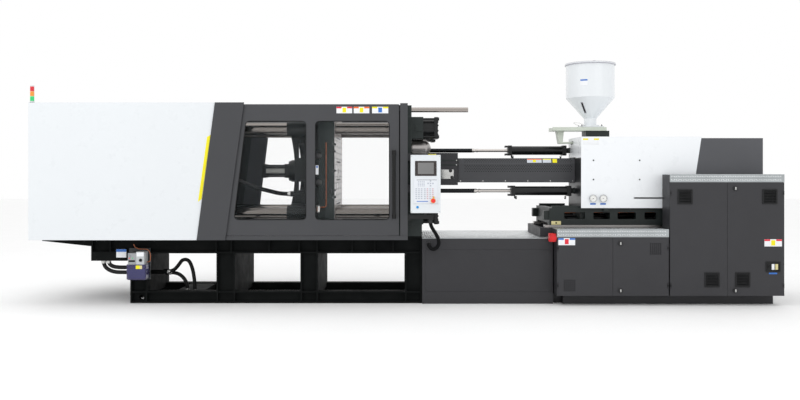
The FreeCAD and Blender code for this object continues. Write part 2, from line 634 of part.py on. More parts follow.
def front_gate():
    """Sliding gate: pressed frame with two windows, a bar handle, rollers and hangers."""
    y = (-GATE_FRONT, -GATE_FRONT + GATE_T - 2)
    slab = side_plate([(GATE_LEFT[0], GATE_LOW), (GATE_LEFT[1], GATE_TOP),
                       (GATE_RIGHT, GATE_TOP), (GATE_RIGHT, GATE_LOW)], y)
    cuts = [window(outline, (y[0] - 1, y[1] + 1)) for outline in window_outlines(0)]
    rebate = GATE_T / 2
    cuts += [window(outline, (y[0] + rebate, y[1] + 1)) for outline in window_outlines(14)]
    slab = slab.cut(cuts)
    hangers = [box((x, x + 60), (y[1] - 1, -GATE_RAIL_Y + 28), (2200.0 + GAP, 2214.0))
               for x in (-1850.0, -1050.0, -200.0)]
    body = join(slab, *hangers)
    handle_x = -136.0
    bar = round_z(17.0, handle_x, -GATE_FRONT - 40, (962.0, 1712.0))
    feet = [round_y(13.0, handle_x, (-GATE_FRONT - 41, -GATE_FRONT), z) for z in (990.0, 1684.0)]
    ends = [round_z(22.0, handle_x, -GATE_FRONT - 38, z)
            for z in ((962.0, 1012.0), (1662.0, 1712.0))]
    return Part.makeCompound([body, join(bar, *feet, *ends)])


def front_windows():
    """Clear panes of the front gate, seated in its rebates."""
    y = (-GATE_FRONT + GATE_T / 2, -GATE_FRONT + GATE_T / 2 + PANE_T)
    return Part.makeCompound([window(outline, y) for outline in window_outlines(12)])


# ---------------------------------------------------------------- small clamp-end pieces
def signal_tower():
    """Three-lens lamp on the roof: base, lenses and cap as separate solids."""
    x, y, radius = LEFT + 30, -770.0, 22.0
    base = join(round_z(radius + 4, x, y, (COVER_TOP, COVER_TOP + 8)),
                round_z(radius, x, y, (COVER_TOP + 7, COVER_TOP + 16)))
    low = COVER_TOP + 16
    rings = [round_z(radius - 1, x, y, (low + 54 * k, low + 54 * (k + 1))) for k in range(3)]
    cap = round_z(radius, x, y, (low + 162, low + 176))
    cap = cap.makeFillet(5.0, [cap.Edges[0]])
    return Part.makeCompound([base, *rings, cap])


def lubrication_pump():
    """Twin pump heads on a back plate, and the copper feed pipe that leaves them."""
    back = box((-3112.0, -2872.0), (-BED_Y - 14, -BED_Y), (270.0, 620.0))
    heads = box((-3081.0, -2992.0), (-750.0, -BED_Y - 13), (449.0, 575.0))
    motor = box((-2990.0, -2900.0), (-750.0, -BED_Y - 13), (449.0, 590.0))
    bridge = box((-2995.0, -2985.0), (-740.0, -BED_Y - 13), (455.0, 570.0))
    knob = round_y(9.0, -3060.0, (-765.0, -749.0), 545.0)
    pipe_y = -660.0
    pump = join(back, heads, motor, bridge, knob)
    pipe = hose("lubrication pipe", [(-2900.0, pipe_y, 470.0), (-2862.0, pipe_y, 474.0),
                                     (-2858.0, pipe_y, 520.0), (-2862.0, pipe_y + 5, 570.0),
                                     (-2888.0, -645.0, 606.0), (-2940.0, -632.0, 612.0),
                                     (-2990.0, -626.0, 610.0), (-3040.0, -622.0, 626.0),
                                     (-3060.0, -620.0, 664.0)], 5.0)
    return Part.makeCompound([pump, pipe])


def lubricant_reservoir():
    """Clear grease reservoir under the pump heads."""
    tank = box((-3096.0, -2884.0), (-756.0, -BED_Y - 14), (287.0, 449.0))
    tank = soften(tank, 12.0, Vector(0, 0, 1))
    foot = box((-3086.0, -2894.0), (-746.0, -BED_Y - 14), (279.0, 288.0))
    return join(tank, foot)


def bed_hoses():
    """Two hoses from the web's ports to the low beam, and two loops under the end box."""
    first = HOSE_PORTS[0]
    second = HOSE_PORTS[1]
    end_a = HOSE_ENDS[0]
    end_b = HOSE_ENDS[1]
    tall = hose("bed hose a", [first, (-2706.0, -300.0, first[2]), (-2640.0, -302.0, 395.0),
                               (-2596.0, -303.0, 462.0), (-2522.0, -303.0, 458.0),
                               (-2482.0, -302.0, 370.0), (-2462.0, -300.0, 270.0),
                               (end_a[0], -300.0, 170.0), (end_a[0], end_a[1], HOSE_BEAM_TOP)],
                BED_HOSE_R)
    short = hose("bed hose b", [second, (-2700.0, -215.0, second[2]), (-2620.0, -215.0, 260.0),
                                (end_b[0], -215.0, 170.0), (end_b[0], end_b[1], HOSE_BEAM_TOP)],
                 BED_HOSE_R)
    outer = hose("bed hose c", OUTER_LOOP, LOOP_HOSE_R)
    inner = hose("bed hose d", INNER_LOOP, LOOP_HOSE_R)
    return Part.makeCompound([tall, short, outer, inner])


def platen_hose():
    """Hydraulic hose from the clamp cover's frame to the back of the moving platen."""
    return hose("platen hose", PLATEN_HOSE, PLATEN_HOSE_R)


# ---------------------------------------------------------------- nozzle guard and panel
def nozzle_guard():
    """Sheet guard round the nozzle, open at both ends and below, with a viewing window."""
    half = 230.0
    x = (FIXED_BACK, 607.0)
    low, top = 1323.0, 1700.0
    outer = box(x, (-half, half), (low, top))
    inner = box((x[0] - 1, x[1] + 1), (-half + SHEET, half - SHEET), (low - 1, top - SHEET))
    view = box((410.0, 561.0), (-half - 1, -half + SHEET + 1), (1396.0, 1507.0))
    flange_low = box((x[0], x[0] + 6), (-half - 30, -half + 1), (low, top))
    guard = outer.cut([inner, view])
    return join(guard, flange_low, rear(flange_low))


def panel_bracket():
    """Arm from the gate post to the vertical pivot pin of the control panel."""
    low = 958.0
    post = box((STILE[1], STILE[1] + 30), (-COVER_Y + 4, -COVER_Y + 40), (low - 20, PIN_LOW))
    arm = box((STILE[1] + 29, 300.0), (-COVER_Y - 10, -COVER_Y + 36), (low, PIN_LOW))
    brace = box((STILE[1] + 10, STILE[1] + 31), (-COVER_Y - 10, -COVER_Y + 36), (low, PIN_LOW))
    pin = round_z(PIVOT_R, PIVOT[0], PIVOT[1], (PIN_LOW - 1, PIN_TOP))
    gland = round_z(30.0, CONDUIT[0][0], CONDUIT[0][1], (CONDUIT[0][2], low + 1))
    return join(post, arm, brace, pin, gland)


def panel_conduit():
    """Corrugated conduit from the bracket's gland down to the base, as a plain tube."""
    return hose("panel conduit", CONDUIT, CONDUIT_R)


def control_panel():
    """Panel case with a screen recess, a keypad plate, a ledge line and pivot lugs."""
    case = soften(box(PANEL_X, PANEL_Y, PANEL_Z), 8.0, Vector(0, 1, 0))
    front = PANEL_Y[0]
    screen = box((110.0, 296.0), (front - 1, front + 8), (1447.0, 1577.0))
    keypad = box((78.0, 342.0), (front - 1, front + 2), (1132.0, 1408.0))
    ledge = box((72.0, 348.0), (front - 1, front + 3), (1124.0, 1128.0))
    seam = box((PANEL_X[0] - 1, PANEL_X[1] + 1), (PANEL_Y[0] + 30, PANEL_Y[0] + 32), PANEL_Z)
    seam = seam.cut(box((PANEL_X[0] + 2, PANEL_X[1] - 2), (PANEL_Y[0], PANEL_Y[1]), PANEL_Z))
    case = case.cut([screen, keypad, ledge, seam])
    for z in (1100.0, 1480.0):
        lug = box((PIVOT[0] - 26, PIVOT[0] + 26), (PANEL_Y[1] - 1, PIVOT[1] + 26), (z, z + 50))
        case = join(case, lug)
    hole = round_z(PIVOT_R + FIT, PIVOT[0], PIVOT[1], (1090.0, 1540.0))
    collar = round_y(E_STOP_R + 6, E_STOP[0], (front - 6, front + 3), E_STOP[1])
    stem = round_y(BUTTON_STEM_R + FIT, E_STOP[0], (front - 7, front + 30), E_STOP[1])
    rim = round_y(BLUE_R + 4, BLUE[0], (front - 3, front + 1), BLUE[1])
    well = round_y(BLUE_R + FIT, BLUE[0], (front - 4, front + 14), BLUE[1])
    return join(case, collar, rim).cut([hole, stem, well])


def e_stop():
    """Mushroom emergency stop on its stem."""
    front = PANEL_Y[0]
    head = round_y(E_STOP_R, E_STOP[0], (-FRONT_REACH, front - 14), E_STOP[1])
    head = head.makeFillet(7.0, [edge for edge in head.Edges
                                 if abs(edge.BoundBox.YMin + FRONT_REACH) < 0.1
                                 and abs(edge.BoundBox.YMax + FRONT_REACH) < 0.1])
    stem = round_y(BUTTON_STEM_R, E_STOP[0], (front - 15, front + 18), E_STOP[1])
    return join(head, stem)


def blue_button():
    """Round push button in the panel's lower strip."""
    front = PANEL_Y[0]
    cap = round_y(BLUE_R, BLUE[0], (front - 9, front + 6), BLUE[1])
    return cap.makeFillet(2.0, [edge for edge in cap.Edges
                                if edge.BoundBox.YMax < front - 8.9])


# ---------------------------------------------------------------- base and cabinets
def injection_base():
    """Welded hollow base: open-fronted look, low plinth and the carriage pedestal."""
    wall = 8.0
    mid = box(BASE_X, (-BASE_Y, BASE_Y), (0, BASE_TOP))
    mid = mid.cut(box((BASE_X[0] + wall, BASE_X[1] + 1), (-BASE_Y + wall, BASE_Y - wall),
                      (wall, BASE_TOP - wall)))
    back = box((BASE_X[1] - 1, BASE_END), (-BASE_BACK_Y, BASE_BACK_Y), (0, BASE_TOP))
    back = back.cut(box((BASE_X[1] - 2, BASE_END - wall), (-BASE_BACK_Y + wall,
                                                           BASE_BACK_Y - wall),
                        (wall, BASE_TOP - wall)))
    shoulder = box((BASE_X[1] - wall, BASE_X[1]), (-BASE_Y, BASE_Y), (0, BASE_TOP))
    shoulder = shoulder.cut(box((BASE_X[1] - wall - 1, BASE_X[1] + 1),
                                (-BASE_BACK_Y + wall, BASE_BACK_Y - wall),
                                (wall, BASE_TOP - wall)))
    plinth = box((PLINTH_X, BASE_END), (-BASE_Y, -BASE_BACK_Y + 1), (0, PLINTH_Z))
    pedestal = box(PEDESTAL_X, (-PEDESTAL_Y, PEDESTAL_Y), (BASE_TOP - 1, PEDESTAL_TOP))
    pedestal = pedestal.cut(box((PEDESTAL_X[0] + 40, PEDESTAL_X[1] - 40),
                                (-PEDESTAL_Y + 160, PEDESTAL_Y - 160),
                                (BASE_TOP, PEDESTAL_TOP + 1)))
    base = join(mid, back, shoulder, plinth, pedestal)
    seam_outer = box((210.0, 1635.0), (-BASE_Y - 1, -BASE_Y + 3), (132.0, 606.0))
    seam_inner = box((214.0, 1631.0), (-BASE_Y - 2, -BASE_Y + 4), (136.0, 602.0))
    boss = round_y(34.0, CONDUIT[-1][0], (-BASE_Y - 14, -BASE_Y + 1), CONDUIT[-1][2])
    plate = box((CONDUIT[-1][0] - 50, CONDUIT[-1][0] + 50), (-BASE_Y - 6, -BASE_Y + 1),
                (CONDUIT[-1][2] - 45, CONDUIT[-1][2] + 40))
    return join(base.cut(seam_outer.cut(seam_inner)), boss, plate)


def tread_plates():
    """Chequered plates: on the mid base, and folded over the top of each cabinet."""
    top = (BASE_TOP, BASE_TOP + TREAD_T)
    deck = box((BASE_X[0], BASE_X[1]), (-BASE_Y, BASE_Y), top)
    deck = deck.cut(box((PEDESTAL_X[0] - 2, BASE_X[1] + 1), (-PEDESTAL_Y - 2, PEDESTAL_Y + 2),
                        (top[0] - 1, top[1] + 1)))
    folds = []
    for x, low in ((LOW_X, LOW_TOP), (TALL_X, TALL_TOP)):
        riser = box(x, (-CABINET_Y, -CABINET_Y + TREAD_T), (low, low + RISER))
        cap = box(x, (-CABINET_Y, -CABINET_BACK), (low + RISER - TREAD_T, low + RISER))
        folds.append(join(riser, cap))
    return Part.makeCompound([deck, *folds])


def cabinet(x, split, top):
    """Open-fronted cabinet case with a centre stile behind the doors and hinge pins."""
    wall = 5.0
    y = (-CABINET_Y + DOOR_T + DOOR_GAP, -CABINET_BACK)
    case = box(x, y, (PLINTH_Z, top))
    for low, high in ((x[0] + wall, split - 15), (split + 15, x[1] - wall)):
        case = case.cut(box((low, high), (y[0] - 1, y[1] - wall), (PLINTH_Z + wall, top - wall)))
    stile_back = box((split - 16, split + 16), (y[0] + 30, y[1] - wall),
                     (PLINTH_Z + wall, top - wall))
    case = case.cut(stile_back)
    crown = box(x, (y[0], y[1]), (top - 1, top + RISER - TREAD_T))
    crown = crown.cut(box((x[0] + wall, x[1] - wall), (y[0] + wall, y[1] - wall),
                          (top - wall - 1, top + RISER - TREAD_T - wall)))
    return join(case, crown)


def hinge_heights(top):
    """Heights of the two hinges on every door of a cabinet."""
    return (223.0, top - 121.0)


def hinges(x, top):
    """Fixed hinge halves at both outer edges: two knuckles and a pin, on a leaf."""
    pieces = []
    for edge, inward in ((x[0], 1), (x[1], -1)):
        for z in hinge_heights(top):
            pin_x = edge + inward * PIN_IN
            leaf_x = tuple(sorted((edge, edge + inward * 2 * PIN_IN)))
            pin = round_z(PIN_R, pin_x, -CABINET_Y, (z - 24, z + 24))
            parts = [pin]
            for low in (z - 24, z + 12):
                span = (low, low + 12)
                parts.append(round_z(KNUCKLE_R, pin_x, -CABINET_Y, span))
                parts.append(box(leaf_x, (-CABINET_Y, -CABINET_Y + DOOR_T + DOOR_GAP + 1), span))
            pieces.append(join(*parts))
    return pieces


def lower_cabinet():
    """Cabinet in front of the injection base."""
    return join(cabinet(LOW_X, LOW_SPLIT, LOW_TOP), *hinges(LOW_X, LOW_TOP))


def tall_cabinet():
    """Electrical cabinet at the injection end."""
    return join(cabinet(TALL_X, TALL_SPLIT, TALL_TOP), *hinges(TALL_X, TALL_TOP))


def door(edge, inner, top, vents, grilles, latch_x):
    """Pressed door tray that hangs at edge; it has vents, grille cut-outs and latch holes."""
    inward = 1 if inner > edge else -1
    x = tuple(sorted((edge + inward * 2, inner)))
    y = (-CABINET_Y, -CABINET_Y + DOOR_T)
    z = (PLINTH_Z + 2, top - 2)
    skin = 3.0
    tray = box(x, y, z)
    tray = tray.cut(box((x[0] + skin + 16, x[1] - skin - 16), (y[0] + skin, y[1] + 1),
                        (z[0] + 19, z[1] - 19)))
    cuts = []
    for vx, vz in vents:
        pitch = 22.0
        for column in range(6):
            for row in range(6):
                cuts.append(box((vx + pitch * column, vx + pitch * column + 12),
                                (y[0] - 1, y[0] + skin + 1),
                                (vz + pitch * row, vz + pitch * row + 12)))
    solids = []
    for gx, gz in grilles:
        side = GRILLE
        cuts.append(box((gx + 12, gx + side - 12), (y[0] - 1, y[0] + skin + 1),
                        (gz + 12, gz + side - 12)))
        frame = soften(box((gx, gx + side), (y[0] - 8, y[0]), (gz, gz + side)), 6.0,
                       Vector(0, 1, 0))
        frame = frame.cut(box((gx + 14, gx + side - 14), (y[0] - 9, y[0] + 1),
                              (gz + 14, gz + side - 14)))
        slats = []
        for k in range(1, 9):
            slat_z = gz + 6 + k * (side - 12) / 9
            slats.append(side_plate([(gx + 13, slat_z - 4), (gx + 13, slat_z + 4),
                                     (gx + side - 13, slat_z + 4),
                                     (gx + side - 13, slat_z - 4)], (y[0] - 6, y[0] - 3)))
        solids.append(join(frame, *slats))
    for z_hinge in hinge_heights(top):
        notch = tuple(sorted((edge, edge + inward * (2 * PIN_IN + 2))))
        for low in (z_hinge - 25, z_hinge + 11):
            cuts.append(box(notch, (y[0] - 1, y[1] + 1), (low, low + 14)))
    pin_x = edge + inward * PIN_IN
    tray = tray.cut(cuts)
    knuckles = [round_z(KNUCKLE_R, pin_x, -CABINET_Y, (z_hinge - 11, z_hinge + 11))
                for z_hinge in hinge_heights(top)]
    tray = join(tray, *knuckles)
    bores = [round_z(PIN_R + FIT, pin_x, -CABINET_Y, (z_hinge - 30, z_hinge + 30))
             for z_hinge in hinge_heights(top)]
    if latch_x is not None:
        for z_latch in latch_heights(top):
            bores.append(round_y(LATCH_R + FIT, latch_x, (y[0] - 1, y[1] + 1), z_latch))
    tray = tray.cut(bores)
    return Part.makeCompound([tray, *solids]) if solids else tray


def latch_heights(top):
    """Heights of the upper and lower latch of a cabinet."""
    return (top - 68.0, 170.0)


def latch(x, z):
    """Quarter-turn latch: knob in front, shaft through the door and cam behind."""
    y = -CABINET_Y
    knob = round_y(19.0, x, (y - 15, y - SEAT), z)
    grip = box((x - 5, x + 5), (y - 20, y - 14), (z - 17, z + 17))
    shaft = round_y(LATCH_R, x, (y - 1, y + DOOR_T - 3), z)
    cam = box((x - 34, x + 9), (y + DOOR_T - 8, y + DOOR_T - 3), (z - 8, z + 8))
    return join(knob, grip, shaft, cam)


def main_breaker():
    """Recessed housing of the main switch, seated on the right tall door."""
    x, z = BREAKER
    y = -CABINET_Y
    frame = box((x, x + 157), (y - 10, y), (z, z + 115))
    recess = box((x + 12, x + 145), (y - 11, y - 3), (z + 12, z + 103))
    blocks = [box((x + 20 + 40 * k, x + 52 + 40 * k), (y - 8, y - 2), (z + 24, z + 90))
              for k in range(3)]
    slot = box((x + 26, x + 46), (y - 12, y - 2.5), (z + 40, z + 74))
    return join(frame.cut(recess), *blocks).cut(slot)


def breaker_toggle():
    """Toggle lever of the main switch, hinged on a short cross pin."""
    x, z = BREAKER
    y = -CABINET_Y
    hub = round_x(3.5, (x + 26 + SEAT, x + 46 - SEAT), y - 7, z + 57)
    lever = box((x + 30, x + 42), (y - 20, y - 6), (z + 54, z + 60))
    return join(hub, lever)


def power_socket():
    """Round-bodied service socket on the cabinet's left side."""
    x, z = SOCKET
    box_body = soften(box((x - 35, LOW_X[0]), (-760.0, -690.0), (z - 46, z + 46)), 8.0,
                      Vector(0, 1, 0))
    sleeve = round_y(36.0, x, (-796.0, -759.0), z)
    cavity = round_y(29.0, x, (-797.0, -768.0), z)
    pins = [round_y(4.0, x + 18 * math.cos(a), (-790.0, -767.0), z + 18 * math.sin(a))
            for a in [math.radians(18 + 72 * k) for k in range(5)]]
    ears = []
    for ear_x in (x - 20, x + 20):
        span = (ear_x - 4, ear_x + 4)
        ears.append(box(span, (-806.0, -790.0), (z + 34, z + 45)))
        ears.append(box(span, (-796.0, -788.0), (z + 24, z + 45)))
    sleeve = join(sleeve, *ears).cut(cavity)
    bore = round_x(2.5 + FIT, (x - 30, x + 30), -800.5, z + 40)
    return join(box_body, sleeve, *pins).cut(bore)


def socket_flap():
    """Sprung lid of the service socket, on its hinge pin."""
    x, z = SOCKET
    lid = round_y(38.0, x, (-801.0, -796.0 - SEAT), z)
    lid = lid.cut(box((x - 25, x + 25), (-808.0, -795.0), (z + 29, z + 46)))
    pin = round_x(2.5, (x - 25, x + 25), -800.5, z + 40)
    tongue = box((x - 15, x + 15), (-803.0, -798.0), (z + 27, z + 41))
    return join(lid, tongue, pin)


def pump_motor():
    """Servo motor and hydraulic pump on feet inside the mid base."""
    y, z = 60.0, 330.0
    motor = round_x(165.0, (500.0, 980.0), y, z)
    fins = [box((520.0, 960.0), (y - 150 + 40 * k, y - 144 + 40 * k), (z + 60, z + 185))
            for k in range(8)]
    bell = round_x(110.0, (979.0, 1080.0), y, z)
    pump = round_x(90.0, (1079.0, 1260.0), y, z)
    feet = [box((x, x + 60), (y - 150, y + 150), (8.0, z - 60)) for x in (540.0, 880.0)]
    return join(motor, *fins, bell, pump, *feet)


# ---------------------------------------------------------------- injection unit
def carriage():
    """Cast sledge with windowed sides and the feed housing that holds the barrel."""
    side = box(UNIT_X, (-UNIT_Y, -UNIT_Y + 60), (UNIT_LOW, UNIT_TOP))
    for low, high in ((1806.0, 2045.0), (2141.0, 2331.0), (2417.0, 2628.0), (2726.0, 2864.0),
                      (2960.0, 3160.0), (3256.0, 3456.0), (3552.0, 3800.0)):
        side = side.cut(soften(box((low, high), (-UNIT_Y - 1, -UNIT_Y + 61), (936.0, 1015.0)),
                               14.0, Vector(0, 1, 0)))
    shoe = box(UNIT_X, (-UNIT_Y + 10, -CARRIAGE_WAY_Y + WAY_W / 2), (UNIT_LOW, UNIT_LOW + 40))
    half = join(side, shoe)
    inner = UNIT_Y - 59
    ties = [box((low, low + 90), (-inner, inner), (UNIT_LOW + 20, UNIT_TOP))
            for low in (UNIT_X[0], HOUSING_X[0], HOUSING_X[1] - 90, 3100.0, UNIT_X[1] - 90)]
    guide = box((1670.0, WHITE_X[0] - 4), (-UNIT_Y + 6, -UNIT_Y + 54), (UNIT_TOP - 1, UNIT_TOP + 26))
    nose = box((UNIT_X[0] - 60, UNIT_X[0] + 1), (-UNIT_Y + 20, -UNIT_Y + 110),
               (UNIT_LOW + 60, UNIT_TOP - 30))
    lugs = [box((x, x + 50), (-WHITE_Y + SHEET + inset, -UNIT_Y + 10),
                (UNIT_TOP - 30, WHITE_LOW + 25)) for x, inset in ((2250.0, 0), (2950.0, 0),
                                                                  (3700.0, DARK_INSET))]
    housing = box(HOUSING_X, (-HOUSING_Y, HOUSING_Y), (UNIT_TOP - 1, HOUSING_TOP))
    housing = housing.cut([box((HOUSING_X[0] + 60, HOUSING_X[1] - 60),
                               (-HOUSING_Y - 1, HOUSING_Y + 1), (UNIT_TOP + 40, 1330.0))])
    plate = box((HOUSING_X[1] - 90, HOUSING_X[1]), (-CYLINDER_PLATE_Y, CYLINDER_PLATE_Y),
                (AXIS_Z - 120, AXIS_Z + 120))
    throat = box((HOPPER_X - 76, HOUSING_X[1] - 10), (-110.0, 110.0), (HOUSING_TOP - 1, FEED_TOP))
    ears = []
    for y, z in ((ROD_Y, UPPER_Z), (-ROD_Y, LOWER_Z)):
        ears.append(box((TUBE_X[1] + 64, HOUSING_X[0] + 1), (y - 32, y + 32), (z - 32, z + 32)))
    body = join(half, rear(half), *ties, guide, rear(guide), nose, rear(nose), *lugs,
                *[rear(lug) for lug in lugs], housing, plate, throat,
                *ears)
    cuts = [round_x(BARREL_R + FIT, (HOUSING_X[0] - 1, BARREL_X[1]), 0, AXIS_Z),
            round_x(SCREW_R + GAP, (BARREL_X[1] - 1, HOUSING_X[1] + 1), 0, AXIS_Z),
            round_z(SCREW_R, HOPPER_X, 0, (AXIS_Z, FEED_TOP + 1))]
    return body.cut(cuts)


def barrel():
    """Heated barrel with end cap, nozzle and feed hole."""
    tube = round_x(BARREL_R, BARREL_X, 0, AXIS_Z)
    cap = round_x(BARREL_R - 35, (BARREL_X[0] - 70, BARREL_X[0]), 0, AXIS_Z)
    nozzle = Part.makeCone(18.0, 34.0, 82.0, Vector(NOZZLE_TIP, 0, AXIS_Z), Vector(1, 0, 0))
    bands = [round_x(BARREL_R + 9, (x, x + 120), 0, AXIS_Z)
             for x in (650.0, 860.0, 1070.0, 1280.0, 1490.0, 1700.0)]
    body = join(tube, cap, nozzle, *bands)
    bore = round_x(SCREW_R + FIT, (BARREL_X[0] - 20, BARREL_X[1] + 1), 0, AXIS_Z)
    tip_bore = round_x(6.0, (NOZZLE_TIP - 1, BARREL_X[0]), 0, AXIS_Z)
    feed = round_z(SCREW_R - 6, HOPPER_X, 0, (AXIS_Z, AXIS_Z + BARREL_R + 2))
    return body.cut([bore, tip_bore, feed])


def barrel_cover():
    """Folded sheet cover round the barrel, open at both ends."""
    low, fold, top = 1354.0, 1575.0, 1639.0
    x = (614.0, WHITE_X[0] - 2)
    outer = [(-190, low), (-190, fold), (-168, top), (168, top), (190, fold), (190, low)]
    inner = [(-186, low + 4), (-186, fold), (-165, top - 4), (165, top - 4), (186, fold),
             (186, low + 4)]
    cover = end_plate(outer, x).cut(end_plate(inner, (x[0] - 1, x[1] + 1)))
    ring = [end_plate(inner, (at, at + 5)).cut(round_x(BARREL_R + FIT, (at - 1, at + 6), 0,
                                                       AXIS_Z)) for at in (618.0, 1975.0)]
    return join(cover, *ring)


def screw():
    """Plasticising screw with its tip and drive end, drawn fully back."""
    tip_x = BARREL_X[0] + SHOT - 5
    body = round_x(SCREW_R, (tip_x + 90, SCREW_END), 0, AXIS_Z)
    tip = Part.makeCone(6.0, SCREW_R - 8, 90.0, Vector(tip_x, 0, AXIS_Z), Vector(1, 0, 0))
    neck = round_x(SCREW_R - 12, (tip_x + 89, tip_x + 91), 0, AXIS_Z)
    return join(body, tip, neck)


def injection_cylinders():
    """Two injection cylinders bolted behind the feed housing."""
    cylinders = []
    for y in (-INJECT_Y, INJECT_Y):
        x = (HOUSING_X[1], HOUSING_X[1] + 480)
        tube = round_x(80.0, x, y, AXIS_Z)
        flange = box((x[0], x[0] + 40), (y - 90, y + 90), (AXIS_Z - 95, AXIS_Z + 95))
        bore = round_x(60.0 + FIT, (x[0] + 40, x[1] - 30), y, AXIS_Z)
        gland = round_x(30.0 + FIT, (x[1] - 31, x[1] + 1), y, AXIS_Z)
        cylinders.append(join(tube, flange).cut([bore, gland]))
    return Part.makeCompound(cylinders)


def thrust_plate():
    """Plate that pushes the screw, with the two piston rods and the screw motor."""
    x = (THRUST_X, THRUST_X + 110)
    plate = soften(box(x, (-330.0, 330.0), (AXIS_Z - 150, AXIS_Z + 150)), 30.0, Vector(1, 0, 0))
    rods = []
    for y in (-INJECT_Y, INJECT_Y):
        rods.append(round_x(30.0, (HOUSING_X[1] + 320, x[0] + 1), y, AXIS_Z))
        rods.append(round_x(60.0, (HOUSING_X[1] + 320, HOUSING_X[1] + 360), y, AXIS_Z))
    motor = round_x(140.0, (x[1] - 1, x[1] + 300), 0, AXIS_Z)
    socket = round_x(SCREW_R + FIT, (x[0] - 1, SCREW_END + GAP), 0, AXIS_Z)
    return join(plate, *rods, motor).cut(socket)


def carriage_cylinders():
    """Two diagonal cylinders that draw the carriage up to the fixed platen."""
    cylinders = []
    for y, z in ((ROD_Y, UPPER_Z), (-ROD_Y, LOWER_Z)):
        tube = round_x(53.0, TUBE_X, y, z)
        heads = [soften(box((x, x + 48), (y - 61, y + 61), (z - 61, z + 61)), 12.0,
                        Vector(1, 0, 0)) for x in (TUBE_X[0] - 47, TUBE_X[1] - 6)]
        studs = [round_x(8.0, (x, x + 62), y + dy, z + dz) for dy in (-48, 48)
                 for dz in (-48, 48) for x in (TUBE_X[0] - 68,)]
        stem = round_x(30.0, (TUBE_X[1] + 40, TUBE_X[1] + 64), y, z)
        port = round_z(14.0, TUBE_X[0] + 8, y, (z - 90, z - 60))
        bore = round_x(45.0, (TUBE_X[0], TUBE_X[1] - 6), y, z)
        gland = round_x(ROD_R + FIT, (TUBE_X[0] - 48, TUBE_X[0] + 1), y, z)
        cylinders.append(join(tube, *heads, *studs, stem, port).cut([bore, gland]))
    return Part.makeCompound(cylinders)


def carriage_rods():
    """Fixed extension, adaptor, chrome rod and piston of each carriage cylinder."""
    rods = []
    for y, z in ((ROD_Y, UPPER_Z), (-ROD_Y, LOWER_Z)):
        long = round_x(25.0, (FIXED_BACK, 825.0), y, z)
        cone = Part.makeCone(25.0, 15.0, 30.0, Vector(825.0, y, z), Vector(1, 0, 0))
        nut = round_x(22.0, (852.0, 878.0), y, z)
        chrome = round_x(ROD_R, (860.0, 1430.0), y, z)
        piston = round_x(45.0 - FIT, (1400.0, 1440.0), y, z)
        foot = round_x(34.0, (FIXED_BACK, FIXED_BACK + 40), y, z)
        rods.append(join(long, cone, nut, chrome, piston, foot))
    return Part.makeCompound(rods)


def white_side(z_top):
    """Outline of the white cover's side, with its slanted rear edge."""
    return [(WHITE_X[0], WHITE_LOW), (WHITE_X[0], z_top), (WHITE_X[1], z_top),
            (WHITE_X[1] - 67, 1440.0), (WHITE_X[1] - 67, WHITE_LOW)]


def injection_cover():
    """White sheet cover over the feed housing and injection cylinders."""
    outer = side_plate(white_side(WHITE_TOP), (-WHITE_Y, WHITE_Y))
    inner = [(WHITE_X[0] + SHEET, WHITE_LOW - 1), (WHITE_X[0] + SHEET, WHITE_TOP - SHEET),
             (WHITE_X[1] + 10, WHITE_TOP - SHEET), (WHITE_X[1] + 10, WHITE_LOW - 1)]
    cover = outer.cut(side_plate(inner, (-WHITE_Y + SHEET, WHITE_Y - SHEET)))
    step = 85.0
    notch = box((WHITE_X[0] - 1, WHITE_X[0] + step), (190.0, WHITE_Y + 1),
                (WHITE_LOW - 1, WHITE_TOP + 1))
    wall = box((WHITE_X[0] + step, WHITE_X[0] + step + SHEET), (190.0, WHITE_Y),
               (WHITE_LOW, WHITE_TOP))
    link = box((WHITE_X[0], WHITE_X[0] + step + SHEET), (190.0 - SHEET, 190.0),
               (WHITE_LOW, WHITE_TOP))
    cover = join(cover.cut(notch), wall, link)
    cuts = [box((WHITE_X[0] - 1, WHITE_X[0] + SHEET + 1), (-200.0, 185.0), (1345.0, 1650.0)),
            box((WHITE_X[0] - 1, WHITE_X[0] + SHEET + 1), (-75.0, 75.0), (1808.0, 1842.0)),
            box((HOPPER_X - 80, HOUSING_X[1] - 6), (-114.0, 114.0),
                (WHITE_TOP - SHEET - 1, WHITE_TOP + 1)),
            box((2592.0, 2990.0), (-WHITE_Y - 1, -WHITE_Y + SHEET + 1), (1171.0, 1188.0))]
    for y, z in ((ROD_Y, UPPER_Z), (-ROD_Y, LOWER_Z)):
        cuts.append(box((WHITE_X[0] - 1, WHITE_X[0] + 90), (y - 36, y + 52), (z - 36, z + 36)))
    return cover.cut(cuts)


def rear_cover():
    """Dark sheet cover over the screw motor."""
    lean = 67.0
    drop = WHITE_TOP - DARK_TOP
    start = WHITE_X[1]
    outline = [(start - lean, WHITE_LOW), (start - lean, 1440.0), (start - drop * 0.15, DARK_TOP),
               (DARK_END, DARK_TOP), (DARK_END, WHITE_LOW)]
    outer = side_plate(outline, (-WHITE_Y + DARK_INSET, WHITE_Y - DARK_INSET))
    inner = [(start - lean - 1, WHITE_LOW - 1), (start - lean - 1, DARK_TOP - SHEET),
             (DARK_END - SHEET, DARK_TOP - SHEET), (DARK_END - SHEET, WHITE_LOW - 1)]
    return outer.cut(side_plate(inner, (-WHITE_Y + DARK_INSET + SHEET,
                                        WHITE_Y - DARK_INSET - SHEET)))


